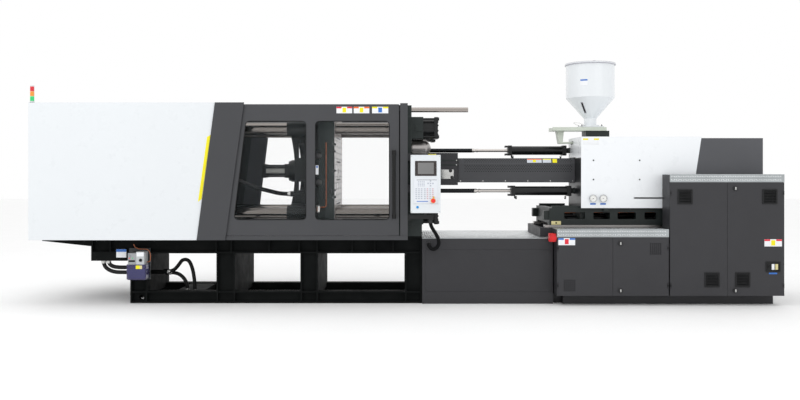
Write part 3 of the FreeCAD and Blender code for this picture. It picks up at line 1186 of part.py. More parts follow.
def pressure_gauges():
    """Two dial gauges with stub feet on the white cover."""
    gauges = []
    for x in GAUGES_X:
        case = round_y(44.0, x, (-WHITE_Y - 26, -WHITE_Y - 2), GAUGE_Z)
        dish = round_y(38.0, x, (-WHITE_Y - 27, -WHITE_Y - 20), GAUGE_Z)
        stub = round_y(20.0, x, (-WHITE_Y - 3, -WHITE_Y), GAUGE_Z)
        hub = round_y(4.0, x, (-WHITE_Y - 25, -WHITE_Y - 19), GAUGE_Z)
        gauges.append(join(join(case, stub).cut(dish), hub))
    return Part.makeCompound(gauges)


def hopper_plate():
    """Slide plate under the hopper, with its end stops and the bracket at its free end."""
    x = (1735.0, 2373.0)
    plate = box(x, (-130.0, 130.0), (FEED_TOP, FEED_TOP + PLATE_T - 12))
    rails = [box(x, (y, y + 20), (FEED_TOP + 1, FEED_TOP + PLATE_T)) for y in (-130.0, 110.0)]
    post = side_plate([(1799.0, FEED_TOP + 1), (1882.0, FEED_TOP + 1), (1866.0, 1815.0),
                       (1826.0, 1815.0)], (-60.0, 60.0))
    foot = box((1826.0, HOUSING_X[0]), (-60.0, 60.0), (1815.0, 1835.0))
    throat = round_z(SCREW_R, HOPPER_X, 0, (FEED_TOP - 1, FEED_TOP + PLATE_T))
    return join(plate, *rails, post, foot).cut(throat)


def hopper():
    """Spun sheet hopper: rolled rim, straight wall, cone, neck and sliding foot."""
    shoulder, neck_top, base = 2358.0, 2115.0, FEED_TOP + PLATE_T - 12 + SEAT
    slope = [(HOPPER_R, HOPPER_TOP - 14), (HOPPER_RIM, HOPPER_TOP - 14),
             (HOPPER_RIM, HOPPER_TOP), (HOPPER_R - WALL, HOPPER_TOP),
             (HOPPER_R - WALL, shoulder + 1), (HOPPER_NECK_R - WALL, neck_top + 1),
             (HOPPER_NECK_R - WALL, base), (HOPPER_NECK_R, base),
             (HOPPER_NECK_R, neck_top), (HOPPER_R, shoulder)]
    points = [Vector(HOPPER_X + r, 0, z) for r, z in slope]
    face = Part.Face(Part.makePolygon(points + points[:1]))
    shell = face.revolve(Vector(HOPPER_X, 0, 0), Vector(0, 0, 1), 360)
    foot = box((HOPPER_X - 140, HOPPER_X + 140), (-105.0, 105.0), (base, base + 26))
    flange = round_z(HOPPER_NECK_R + 34, HOPPER_X, 0, (base + 25, base + 40))
    foot = join(foot, flange).cut(round_z(HOPPER_NECK_R - WALL, HOPPER_X, 0,
                                          (base - 1, base + 41)))
    ears = [box((HOPPER_X + s - 6, HOPPER_X + s + 6), (HOPPER_R - 1, LID_Y + 9),
                (HOPPER_TOP - 40, HOPPER_TOP + 14)) for s in (-40, 40)]
    bore = round_x(4.0 + FIT, (HOPPER_X - 50, HOPPER_X + 50), LID_Y, LID_Z)
    return join(shell, foot, *ears).cut(bore)


def hopper_lid():
    """Flat lid with a turned-down rim, a knob and a rear hinge tongue on its pin."""
    disc = round_z(HOPPER_RIM, HOPPER_X, 0, (HOPPER_TOP + SEAT, HOPPER_TOP + SEAT + 4))
    knob = join(round_z(9.0, HOPPER_X, -200.0, (HOPPER_TOP + 4, HOPPER_TOP + 12)),
                round_z(17.0, HOPPER_X, -200.0, (HOPPER_TOP + 11, HOPPER_TOP + 19)))
    relief = [box((HOPPER_X + s - 7, HOPPER_X + s + 7), (HOPPER_R - 4, HOPPER_RIM + 1),
                  (HOPPER_TOP, HOPPER_TOP + 6)) for s in (-40, 40)]
    tongue = box((HOPPER_X - 32, HOPPER_X + 32), (HOPPER_RIM - 12, LID_Y + 5),
                 (HOPPER_TOP + SEAT, LID_Z + 4))
    pin = round_x(4.0, (HOPPER_X - 46, HOPPER_X + 46), LID_Y, LID_Z)
    return join(disc.cut(relief), knob, tongue, pin)


# ---------------------------------------------------------------- output
def save(name, shape):
    """Write one sub-part, moved so that the machine's origin is its bottom centre."""
    placed = shape.copy()
    placed.translate(Vector(0, CENTRE_SHIFT, 0))
    if not placed.isValid():
        print("invalid:", name)
    placed.exportStep(os.path.join("parts", name + ".step"))


DOORS = {
    "lower_left_door": door(LOW_X[0], LOW_SPLIT - 1.5, LOW_TOP, [(1735.0, 164.0)], [], None),
    "lower_right_door": door(LOW_X[1], LOW_SPLIT + 1.5, LOW_TOP, [(2682.0, 567.0)], [],
                             LOW_SPLIT + 82),
    "tall_left_door": door(TALL_X[0], TALL_SPLIT - 1.5, TALL_TOP, [],
                           [(2983.0, 1119.0), (3281.0, 206.0)], None),
    "tall_right_door": Part.makeCompound([
        door(TALL_X[1], TALL_SPLIT + 1.5, TALL_TOP, [], [(3915.0, 1121.0), (3617.0, 206.0)],
             TALL_SPLIT + 85), main_breaker()]),
}

LATCHES = {
    "lower_top_latch": latch(LOW_SPLIT + 82, latch_heights(LOW_TOP)[0]),
    "lower_bottom_latch": latch(LOW_SPLIT + 82, latch_heights(LOW_TOP)[1]),
    "tall_top_latch": latch(TALL_SPLIT + 85, latch_heights(TALL_TOP)[0]),
    "tall_bottom_latch": latch(TALL_SPLIT + 85, latch_heights(TALL_TOP)[1]),
}

PIECES = [clamp_bed, guide_ways, fixed_platen, tie_bars, locking_cylinders, clamp_covers,
          trim_panels, gate_frames, signal_tower, lubrication_pump, lubricant_reservoir,
          bed_hoses, accumulator, nozzle_guard, panel_bracket, panel_conduit, injection_base,
          tread_plates, lower_cabinet, tall_cabinet, power_socket, pump_motor, carriage_rods,
          traverse_cylinders, front_gate, front_windows, moving_platen, ejector_cylinder,
          ejector_rod, safety_bar, traverse_rods, platen_hose, carriage, barrel, barrel_cover,
          screw, thrust_plate, injection_cylinders, carriage_cylinders, injection_cover,
          rear_cover, hopper_plate, hopper, hopper_lid, control_panel, e_stop, blue_button,
          pressure_gauges, breaker_toggle, socket_flap]

os.makedirs("parts", exist_ok=True)
for piece in PIECES:
    save(piece.__name__, piece())
save("rear_gate", rear(front_gate()))
save("rear_windows", rear(front_windows()))
for name, shape in {**DOORS, **LATCHES}.items():
    save(name, shape)
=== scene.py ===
"""Looks of the injection moulding machine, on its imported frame.

Places are in millimetres, measured from the machine's centreline as in the part's source,
and `at` turns them into the frame's metres. A finish is named in FINISHES, and a piece
asks for its finishes by name.
"""

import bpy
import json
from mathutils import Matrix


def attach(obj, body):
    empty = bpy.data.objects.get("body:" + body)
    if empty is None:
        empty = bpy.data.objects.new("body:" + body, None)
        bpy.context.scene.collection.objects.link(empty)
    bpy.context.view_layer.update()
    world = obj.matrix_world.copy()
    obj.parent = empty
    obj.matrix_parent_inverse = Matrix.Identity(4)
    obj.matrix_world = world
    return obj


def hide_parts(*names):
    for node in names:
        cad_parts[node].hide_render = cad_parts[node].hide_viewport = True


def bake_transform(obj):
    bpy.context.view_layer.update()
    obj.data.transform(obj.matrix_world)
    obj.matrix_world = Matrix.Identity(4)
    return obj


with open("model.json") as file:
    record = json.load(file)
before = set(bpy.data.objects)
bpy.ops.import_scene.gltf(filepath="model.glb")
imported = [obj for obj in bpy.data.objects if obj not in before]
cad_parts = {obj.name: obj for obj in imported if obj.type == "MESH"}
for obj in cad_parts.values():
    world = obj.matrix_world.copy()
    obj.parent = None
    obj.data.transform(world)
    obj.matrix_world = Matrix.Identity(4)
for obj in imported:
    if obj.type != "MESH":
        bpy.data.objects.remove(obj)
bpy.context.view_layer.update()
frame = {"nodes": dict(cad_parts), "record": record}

import json
import math

import bmesh
import bpy
from mathutils import Matrix, Vector

MM = 0.001
CENTRE_SHIFT = 40.0      # the part is moved this far along Y so that its origin is centred

# Driving places, as in the part's source
LEFT = -4160.5
AXIS_Z = 1490.0
COVER_Y = 800.0
COVER_LOW = 724.0
COVER_TOP = 2240.0
GATE_FRONT = 790.0
MOVING_FACE = -806.0
FIXED_FACE = -182.0
PLATEN_Y = 612.0
WHITE_X = (1989.0, 3359.0)
WHITE_Y = 500.0
EJECTOR_X = (-1714.0, -1366.0)
PANEL_FRONT = -900.0
DOOR_FACE = -800.0
HOPPER_X = 2208.0
HOPPER_R = 286.0
HOPPER_TOP = 2765.0
GAUGES_X = (2123.0, 2238.0)
GAUGE_Z = 1175.0
BAR_OFF = 482.5          # the tie bars' centres lie this far beside and above the axis
GUARD_FRONT = -230.0     # front of the nozzle guard
SHIELD_Y = -190.4        # front of the barrel's cover, just proud of its sheet
SHIELD_BEND = 1575.0     # height from which that sheet leans back
SHIELD_LEAN = (190 - 168) / (1639 - SHIELD_BEND)    # how far, for each mm of height
TRIM_TOP_X = -1785.0     # slanted edge between the clamp cover's trim and the gates
TRIM_LOW_X = -1992.0
LATCHES = {"lower_top": (2354, 689), "lower_bottom": (2354, 170),
           "tall_top": (3617, 1294), "tall_bottom": (3617, 170)}
SWITCH = (3955.0, 374.0)     # left bottom corner of the main switch's housing

FINISHES = {}            # every finish by name, filled by make_finishes


def at(x, y, z):
    """A place in the part's millimetres, as a point of the frame in metres."""
    return Vector((x, y + CENTRE_SHIFT, z)) * MM


def linear(code):
    """Linear colour of a hex code."""
    parts = [int(code[k:k + 2], 16) / 255 for k in (1, 3, 5)]
    return tuple(c / 12.92 if c <= 0.04045 else ((c + 0.055) / 1.055) ** 2.4 for c in parts) + (1.0,)


def scaled(colour, share):
    """The colour made lighter or darker by a share, kept within 0 and 1."""
    return tuple(min(1.0, max(0.0, c * share)) for c in colour[:3]) + (1.0,)


def oval(wide, tall, count, closed=False):
    """Points (u, v) round an ellipse of half sizes wide and tall; closed repeats the first."""
    turns = [2 * math.pi * k / count for k in range(count + closed)]
    return [(wide * math.cos(a), tall * math.sin(a)) for a in turns]


# ---------------------------------------------------------------- camera and stage
def make_camera():
    """Level camera in front of the clamp, at eye height."""
    data = bpy.data.cameras.new("camera")
    data.sensor_width = 36.0
    data.lens = 36.81
    data.shift_y = -0.031
    data.clip_end = 200.0
    camera = bpy.data.objects.new("camera", data)
    camera.location = (-0.070, -9.760, 1.439)
    camera.rotation_euler = (math.radians(90), 0, 0)
    bpy.context.scene.collection.objects.link(camera)
    bpy.context.scene.camera = camera


def area_lamp(name, place, aim, size, power):
    """Soft rectangular studio lamp."""
    data = bpy.data.lights.new(name, "AREA")
    data.shape = "RECTANGLE"
    data.size, data.size_y = size
    data.energy = power
    lamp = bpy.data.objects.new(name, data)
    lamp.location = place
    lamp.rotation_euler = (Vector(aim) - Vector(place)).to_track_quat("-Z", "Y").to_euler()
    bpy.context.scene.collection.objects.link(lamp)


def make_stage():
    """Pale floor, white surroundings and the lamps."""
    floor = new_mesh_object("floor", slab_mesh((-40, -40, -0.03), (40, 40, -0.001)),
                            [surface("floor_paper", "#FBFBFB", 0.9, tone=0.01, grain=40.0)])
    world = bpy.data.worlds.new("studio")
    world.use_nodes = True
    world.node_tree.nodes["Background"].inputs["Color"].default_value = (1, 1, 1, 1)
    world.node_tree.nodes["Background"].inputs["Strength"].default_value = 1.0
    bpy.context.scene.world = world
    bpy.context.scene.view_settings.view_transform = "Standard"
    area_lamp("key", (-6.5, -6.5, 6.0), (0.0, 0, 1.2), (6.0, 3.5), 130)
    area_lamp("fill", (5.5, -7.0, 4.5), (1.5, 0, 1.0), (5.0, 3.0), 35)
    area_lamp("top", (0.0, -0.5, 7.0), (0, 0, 1.0), (9.0, 3.0), 70)


# ---------------------------------------------------------------- node helpers
class Shader:
    """Builds one material's nodes."""

    def __init__(self, name):
        self.material = bpy.data.materials.new(name)
        self.material.use_nodes = True
        self.tree = self.material.node_tree
        self.tree.nodes.clear()
        self.out = self.tree.nodes.new("ShaderNodeOutputMaterial")
        self.bsdf = self.node("ShaderNodeBsdfPrincipled")
        self.tree.links.new(self.bsdf.outputs[0], self.out.inputs["Surface"])
        self.place = self.node("ShaderNodeTexCoord").outputs["Object"]

    def node(self, kind, settings=None, **inputs):
        made = self.tree.nodes.new(kind)
        for key, value in (settings or {}).items():
            setattr(made, key, value)
        for key, value in inputs.items():
            self.put(made.inputs[key.replace("_", " ")], value)
        return made

    def put(self, socket, value):
        if isinstance(value, bpy.types.NodeSocket):
            self.tree.links.new(value, socket)
        else:
            socket.default_value = value

    def math(self, operation, a, b=0.0):
        made = self.tree.nodes.new("ShaderNodeMath")
        made.operation = operation
        self.put(made.inputs[0], a)
        self.put(made.inputs[1], b)
        return made.outputs[0]

    def mix(self, factor, a, b):
        made = self.tree.nodes.new("ShaderNodeMix")
        made.data_type = "RGBA"
        self.put(made.inputs[0], factor)
        self.put(made.inputs[6], a)
        self.put(made.inputs[7], b)
        return made.outputs[2]

    def noise(self, scale, detail=3.0, stretch=(1, 1, 1), rough=0.55):
        where = self.node("ShaderNodeMapping", Vector=self.place, Scale=stretch).outputs[0]
        return self.node("ShaderNodeTexNoise", Vector=where, Scale=scale, Detail=detail,
                         Roughness=rough).outputs[0]

    def ramp(self, value, low, high, to_low=0.0, to_high=1.0):
        return self.node("ShaderNodeMapRange", Value=value, From_Min=low, From_Max=high,
                         To_Min=to_low, To_Max=to_high).outputs[0]

    def inside(self, low, high):
        """1 where the surface lies between two corners, in the part's millimetres."""
        axes = self.node("ShaderNodeSeparateXYZ", Vector=self.place)
        mask = 1.0
        for axis, a, b in zip(range(3), at(*low), at(*high)):
            over = self.math("GREATER_THAN", axes.outputs[axis], a)
            under = self.math("LESS_THAN", axes.outputs[axis], b)
            mask = self.math("MULTIPLY", self.math("MULTIPLY", over, under), mask)
        return mask

    def worn_edges(self, width):
        """1 along sharp edges, broken up by noise, and the rounded normal."""
        rounded = self.node("ShaderNodeBevel", {"samples": 6}, Radius=width).outputs[0]
        flat = self.node("ShaderNodeNewGeometry").outputs["Normal"]
        dot = self.node("ShaderNodeVectorMath", {"operation": "DOT_PRODUCT"})
        self.put(dot.inputs[0], rounded)
        self.put(dot.inputs[1], flat)
        edge = self.ramp(dot.outputs["Value"], 0.995, 0.90)
        patches = self.ramp(self.noise(9.0, 5.0), 0.42, 0.62)
        return self.math("MULTIPLY", edge, patches), rounded


def surface(name, code, rough, metallic=0.0, tone=0.08, tone_size=1.4, grain=500.0,
            depth=0.02, wear=None, wear_share=0.5, edge=2.0, coat=0.0, stretch=(1, 1, 1),
            fields=(), machined=None, extra_bump=None, gloss=0.5):
    """Procedural finish: drifting tone, fine grain, worn edges, fields of other colours.

    depth, edge and stretch are in millimetres, millimetres and per-axis scale. A field is
    (low corner, high corner, colour code, roughness).
    """
    s = Shader(name)
    base = linear(code)
    cloud = s.noise(tone_size, 5.0)
    colour = s.mix(s.ramp(cloud, 0.3, 0.7), scaled(base, 1 - tone), scaled(base, 1 + tone))
    speck = s.noise(grain, 2.0, stretch)
    colour = s.mix(s.ramp(speck, 0.35, 0.75, 0.0, 0.12), colour, scaled(base, 0.7))
    streak = s.noise(7.0, 4.0, stretch)
    roughness = s.ramp(s.math("ADD", streak, s.math("MULTIPLY", speck, 0.35)), 0.4, 1.0,
                       max(0.02, rough * 0.82), min(1.0, rough * 1.22))
    if machined:
        axis, place = machined
        normal = s.node("ShaderNodeSeparateXYZ",
                        Vector=s.node("ShaderNodeNewGeometry").outputs["Normal"])
        where = s.node("ShaderNodeSeparateXYZ", Vector=s.place)
        facing = s.math("GREATER_THAN", s.math("MULTIPLY", normal.outputs[0], axis), 0.8)
        near = s.math("COMPARE", where.outputs[0], place * MM)
        near.node.inputs[2].default_value = 0.002
        mask = s.math("MULTIPLY", facing, near)
        cut = s.ramp(s.noise(30.0, 3.0, (1, 14, 0.6)), 0.3, 0.7)
        colour = s.mix(mask, colour, s.mix(cut, linear("#8F8A88"), linear("#CFC9C6")))
        roughness = s.math("MULTIPLY", roughness, s.ramp(mask, 0, 1, 1.0, 0.55))
    for low, high, field, field_rough in fields:
        mask = s.inside(low, high)
        tint = linear(field)
        colour = s.mix(mask, colour, s.mix(s.ramp(cloud, 0.3, 0.7), scaled(tint, 0.92),
                                           scaled(tint, 1.05)))
        roughness = s.math("MAXIMUM", s.math("MULTIPLY", roughness, s.math("SUBTRACT", 1.0, mask)),
                           s.math("MULTIPLY", mask, field_rough))
    normal = None
    if wear:
        worn, rounded = s.worn_edges(edge * MM)
        colour = s.mix(s.math("MULTIPLY", worn, wear_share), colour, linear(wear))
        normal = rounded
    bump = s.node("ShaderNodeBump", Strength=1.0, Distance=depth * MM, Height=speck)
    if normal:
        s.put(bump.inputs["Normal"], normal)
    if extra_bump:
        size, lift = extra_bump
        bump = s.node("ShaderNodeBump", Strength=1.0, Distance=lift * MM,
                      Height=s.noise(size, 3.0), Normal=bump.outputs[0])
    s.put(s.bsdf.inputs["Base Color"], colour)
    s.put(s.bsdf.inputs["Roughness"], roughness)
    s.put(s.bsdf.inputs["Normal"], bump.outputs[0])
    s.bsdf.inputs["Metallic"].default_value = metallic
    s.bsdf.inputs["Specular IOR Level"].default_value = gloss
    s.bsdf.inputs["Coat Weight"].default_value = coat
    s.bsdf.inputs["Coat Roughness"].default_value = 0.12
    return s.material


def clear_surface(name, code, alpha, rough):
    """See-through plastic with faint smears."""
    s = Shader(name)
    smear = s.ramp(s.noise(5.0, 4.0, (1, 1, 0.4)), 0.4, 0.8, rough, rough * 2.5)
    tint = s.mix(s.ramp(s.noise(2.0, 3.0), 0.3, 0.7), linear(code), scaled(linear(code), 0.93))
    bump = s.node("ShaderNodeBump", Strength=0.3, Distance=0.0001, Height=s.noise(3.0, 2.0))
    s.put(s.bsdf.inputs["Base Color"], tint)
    s.put(s.bsdf.inputs["Roughness"], smear)
    s.put(s.bsdf.inputs["Normal"], bump.outputs[0])
    s.bsdf.inputs["Alpha"].default_value = alpha
    return s.material


# ---------------------------------------------------------------- mesh helpers
def slab_mesh(low, high):
    """Plain box mesh between two corners in metres."""
    bm = bmesh.new()
    size = Vector(high) - Vector(low)
    middle = (Vector(high) + Vector(low)) / 2
    bmesh.ops.create_cube(bm, size=1.0, matrix=Matrix.Translation(middle) @ Matrix.Diagonal((*size, 1)))
    return bm


def new_mesh_object(name, bm, materials):
    """Object from a bmesh, smooth except at sharp corners."""
    mesh = bpy.data.meshes.new(name)
    bm.to_mesh(mesh)
    bm.free()
    mesh.polygons.foreach_set("use_smooth", [True] * len(mesh.polygons))
    mesh.set_sharp_from_angle(angle=math.radians(35))
    for material in materials:
        mesh.materials.append(material)
    made = bpy.data.objects.new(name, mesh)
    bpy.context.scene.collection.objects.link(made)
    return made


class Piece:
    """One visible piece, gathered from simple forms, then ridden on a body.

    A form's material is the number of its finish in the piece's own list of them.
    """

    def __init__(self, name, body, *finishes, slot=None):
        self.name, self.body, self.slot = name, body, slot
        self.materials = [FINISHES[finish] for finish in finishes]
        self.bm = bmesh.new()

    def _tag(self, faces, material):
        for face in faces:
            face.material_index = material

    def slab(self, x, y, z, bevel=0.0, material=0):
        """Box between the pairs x, y and z, with its edges rounded."""
        low, high = at(x[0], y[0], z[0]), at(x[1], y[1], z[1])
        place = Matrix.Translation((low + high) / 2) @ Matrix.Diagonal((*(high - low), 1))
        made = bmesh.ops.create_cube(self.bm, size=1.0, matrix=place)["verts"]
        self._finish(made, bevel, material, 0.0)
        return self

    def drum(self, centre, axis, radius, length, bevel=0.0, material=0, sides=40, tip=None):
        """Cylinder or cone from centre along axis."""
        turn = Vector(axis).to_track_quat("Z", "Y").to_matrix().to_4x4()
        start = at(*centre)
        middle = start + Vector(axis).normalized() * length * MM / 2
        made = bmesh.ops.create_cone(
            self.bm, cap_ends=True, segments=sides, radius1=radius * MM,
            radius2=(radius if tip is None else tip) * MM, depth=length * MM,
            matrix=Matrix.Translation(middle) @ turn)["verts"]
        self._finish(made, bevel, material, math.radians(50))
        return self

    def prism(self, outline, depth_from, depth_to, bevel=0.0, material=0):
        """Outline of (x, z) points, between two Y places."""
        front = [self.bm.verts.new(at(x, depth_from, z)) for x, z in outline]
        back = [self.bm.verts.new(at(x, depth_to, z)) for x, z in outline]
        count = len(outline)
        faces = [self.bm.faces.new(front), self.bm.faces.new(back[::-1])]
        for k in range(count):
            j = (k + 1) % count
            faces.append(self.bm.faces.new((front[j], front[k], back[k], back[j])))
        bmesh.ops.recalc_face_normals(self.bm, faces=faces)
        self._finish(front + back, bevel, material, math.radians(30))
        return self

    def face(self, places, material=0):
        """One flat face through places in the frame's metres."""
        made = self.bm.faces.new([self.bm.verts.new(place) for place in places])
        made.material_index = material
        return self

    def tube(self, places, radius, sides):
        """Round bar along places in the frame's metres, in the piece's first finish."""
        add_tube(self.bm, places, lambda k: radius * MM, sides)
        return self

    def _finish(self, verts, bevel, material, sharper_than):
        """Set the material of the faces at verts, and round their sharp edges."""
        self._tag([face for vert in verts for face in vert.link_faces], material)
        if bevel:
            # each edge once, in the same order on every run
            edges = dict.fromkeys(edge for vert in verts for edge in vert.link_edges)
            sharp = [edge for edge in edges if len(edge.link_faces) == 2
                     and edge.calc_face_angle(0.0) > max(sharper_than, 0.3)]
            made = bmesh.ops.bevel(self.bm, geom=sharp, offset=bevel * MM, segments=3,
                                   affect="EDGES", profile=0.5)
            self._tag(made["faces"], material)

    def done(self):
        """Make the object and ride it on its body."""
        made = new_mesh_object(self.name, self.bm, self.materials)
        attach(made, self.body)
        return made


def nurbs_route(name, points):
    """Smooth route through the control points, as points read from its NURBS spline."""
    data = bpy.data.curves.new(name + "_route", "CURVE")
    data.dimensions = "3D"
    spline = data.splines.new("NURBS")
    spline.points.add(len(points) - 1)
    for point, place in zip(spline.points, points):
        point.co = (*at(*place), 1.0)
    spline.order_u = 3
    spline.use_endpoint_u = True
    spline.resolution_u = 24
    route = bpy.data.objects.new(name + "_route", data)
    bpy.context.scene.collection.objects.link(route)
    line = bpy.data.meshes.new_from_object(route)
    places = [vert.co.copy() for vert in line.vertices]
    bpy.data.objects.remove(route)
    bpy.data.meshes.remove(line)
    return places


def evenly(places, step):
    """Places along a line about one step apart, with both its ends."""
    total = sum((b - a).length for a, b in zip(places, places[1:]))
    count = max(2, round(total / step))
    spacing = total / count
    found, walked, target = [places[0]], 0.0, spacing
    for a, b in zip(places, places[1:]):
        run = (b - a).length
        while run > 0 and walked + run >= target - 1e-9 and len(found) < count:
            found.append(a.lerp(b, (target - walked) / run))
            target += spacing
        walked += run
    return found + [places[-1]]


def add_tube(bm, places, radius_at, sides=24):
    """Closed tube along places; radius_at gives each ring's radius from its number."""
    rings = []
    across = None
    for k, place in enumerate(places):
        ahead = (places[min(k + 1, len(places) - 1)] - places[max(k - 1, 0)]).normalized()
        if across is None:
            across = ahead.orthogonal().normalized()
        across = (across - ahead * across.dot(ahead)).normalized()
        up = ahead.cross(across)
        radius = radius_at(k)
        rings.append([bm.verts.new(place + (across * u + up * v) * radius)
                      for u, v in oval(1.0, 1.0, sides)])
    for one, two in zip(rings, rings[1:]):
        for j in range(sides):
            bm.faces.new((one[j], one[(j + 1) % sides], two[(j + 1) % sides], two[j]))
    bm.faces.new(rings[0][::-1])
    bm.faces.new(rings[-1])


# ---------------------------------------------------------------- materials
CASTING = dict(wear="#454C4A", grain=160.0, depth=0.14, extra_bump=(38.0, 0.35), gloss=0.3)
CHARCOAL = dict(tone=0.05, wear_share=0.45, grain=900.0, depth=0.05, gloss=0.35)
CHROME = dict(metallic=1.0, tone=0.03, grain=300.0, depth=0.003)
ENAMEL = dict(tone=0.006, wear="#DDE1E4", wear_share=0.2, grain=420.0, depth=0.01, coat=0.2)
BUTTON = dict(tone=0.06, grain=300.0, depth=0.01)
LENS = dict(BUTTON, coat=0.6)
FILM = dict(tone=0.03, depth=0.01)
DRAWN = (0.05, 1, 1)     # grain drawn out along X

# Colour, roughness and the rest of each finish
SURFACES = {
    "bed_paint": ("#0A0D0D", 0.72, dict(wear="#1D2121", grain=260.0, depth=0.05,
                                        extra_bump=(28.0, 0.12), gloss=0.14)),
    "casting_paint": ("#242A29", 0.45, CASTING),
    "cover_white": ("#E6E9EC", 0.30, dict(tone=0.018, wear="#DDE1E4", wear_share=0.4,
                                          grain=420.0, coat=0.25)),
    "charcoal_paint": ("#303033", 0.48, dict(CHARCOAL, wear="#56575A")),
    "chrome_bar": ("#A69F9A", 0.16, dict(CHROME, stretch=DRAWN)),
    "ground_steel": ("#B4B0AE", 0.30, dict(metallic=0.9, wear="#E0DEDC", grain=400.0,
                                           stretch=(0.1, 1, 1))),
    "black_steel": ("#101213", 0.34, dict(wear="#383C3E", grain=300.0, depth=0.03,
                                          coat=0.15, gloss=0.3)),
    "hose_rubber": ("#0E0F10", 0.50, dict(tone=0.15, grain=700.0, depth=0.12, gloss=0.3)),
    "conduit_black": ("#08090A", 0.42, dict(tone=0.12, grain=600.0, depth=0.03, gloss=0.15)),
    "tread_bars": ("#F2F4F4", 0.20, dict(metallic=0.8, tone=0.05, tone_size=5.0, grain=300.0)),
    "tread_aluminium": ("#A9AEB0", 0.32, dict(metallic=0.85, tone=0.10, tone_size=5.0,
                                              wear="#F2F3F3", grain=300.0, depth=0.05,
                                              stretch=(0.2, 1, 1))),
    "panel_white": ("#E0E5E9", 0.34, dict(tone=0.02, wear="#CDD3D8")),
    "button_red": ("#F01818", 0.26, dict(BUTTON, coat=0.5)),
    "button_blue": ("#1E8FD8", 0.26, dict(BUTTON, tone=0.08, coat=0.5)),
    "button_yellow": ("#F2B61C", 0.34, BUTTON),
    "socket_red": ("#D5121A", 0.40, dict(wear="#EE5B56", grain=300.0, depth=0.03)),
    "gauge_case": ("#C9CBCD", 0.14, dict(metallic=1.0, tone=0.04, grain=300.0, depth=0.004)),
    "slide_green": ("#C4CBBF", 0.42, dict(tone=0.05, wear="#8F958B", grain=300.0, depth=0.04)),
    "hopper_white": ("#E5E9EC", 0.24, dict(tone=0.02, wear="#CED3D6", wear_share=0.3,
                                           grain=200.0, coat=0.4)),
    "lid_grey": ("#B0AFB8", 0.35, dict(tone=0.05, wear="#D8D8DC", grain=260.0, depth=0.03)),
    "switch_black": ("#17181A", 0.34, dict(tone=0.10, wear="#4B4D50")),
    "yellow_film": ("#F2E600", 0.38, FILM),
    "orange_film": ("#F26A1B", 0.38, FILM),
    "red_film": ("#E0233A", 0.38, FILM),
    "blue_film": ("#2F6FC4", 0.38, dict(FILM, tone=0.04)),
    "white_film": ("#EFF1F4", 0.38, FILM),
    "grey_film": ("#C9CFD8", 0.38, dict(FILM, tone=0.04)),
    "cream_film": ("#D8CE96", 0.42, dict(FILM, tone=0.05)),
    "keypad_film": ("#E2E6EC", 0.44, dict(FILM, tone=0.02)),
    "key_grey": ("#B3B9C4", 0.42, dict(FILM, tone=0.05)),
    "key_rose": ("#CFA9B0", 0.42, dict(FILM, tone=0.05)),
    "bezel": ("#1A0E0B", 0.28, dict(FILM, tone=0.10, coat=0.4)),
    "screen": ("#717171", 0.16, dict(tone=0.03, tone_size=6.0, depth=0.002, coat=0.8)),
    "dial_face": ("#F4F4F1", 0.45, dict(tone=0.02, depth=0.005)),
    "gap_black": ("#0E0F10", 0.85, dict(tone=0.15, depth=0.05)),
    "copper": ("#A8623F", 0.28, dict(metallic=0.9, tone=0.16, tone_size=9.0, grain=300.0, depth=0.01)),
    "bright_steel": ("#C8C8C6", 0.24, dict(metallic=0.9, tone_size=8.0, grain=400.0, depth=0.01)),
    "lens_red": ("#D8142B", 0.18, LENS),
    "lens_amber": ("#F09A28", 0.18, LENS),
    "lens_green": ("#1FD67A", 0.18, LENS),
    "pump_grey": ("#23282A", 0.42, dict(wear="#5C6062", grain=300.0, depth=0.03, fields=[
        ((-3082, -768, 448), (-2991, -615, 577), "#9A9DA0", 0.38),
        ((-2991, -768, 448), (-2898.5, -615, 592), "#B9BDBF", 0.38),
        ((-2899, -700, 440), (-2840, -614.6, 640), "#A8623F", 0.25),
        ((-3080, -700, 593), (-2880, -614.6, 690), "#A8623F", 0.25)])),
}


def make_finishes():
    """Make a finish for each material slot of the record and for the added pieces."""
    for name, (code, rough, more) in SURFACES.items():
        FINISHES[name] = surface(name, code, rough, **more)
    FINISHES["tower_lens"] = surface("tower_base", "#D9DADB", 0.35, tone=0.04, grain=300.0)
    FINISHES["clear_pane"] = clear_surface("clear_pane", "#9DA9AF", 0.015, 0.04)
    FINISHES["reservoir_clear"] = clear_surface("reservoir_clear", "#3B3663", 0.82, 0.10)


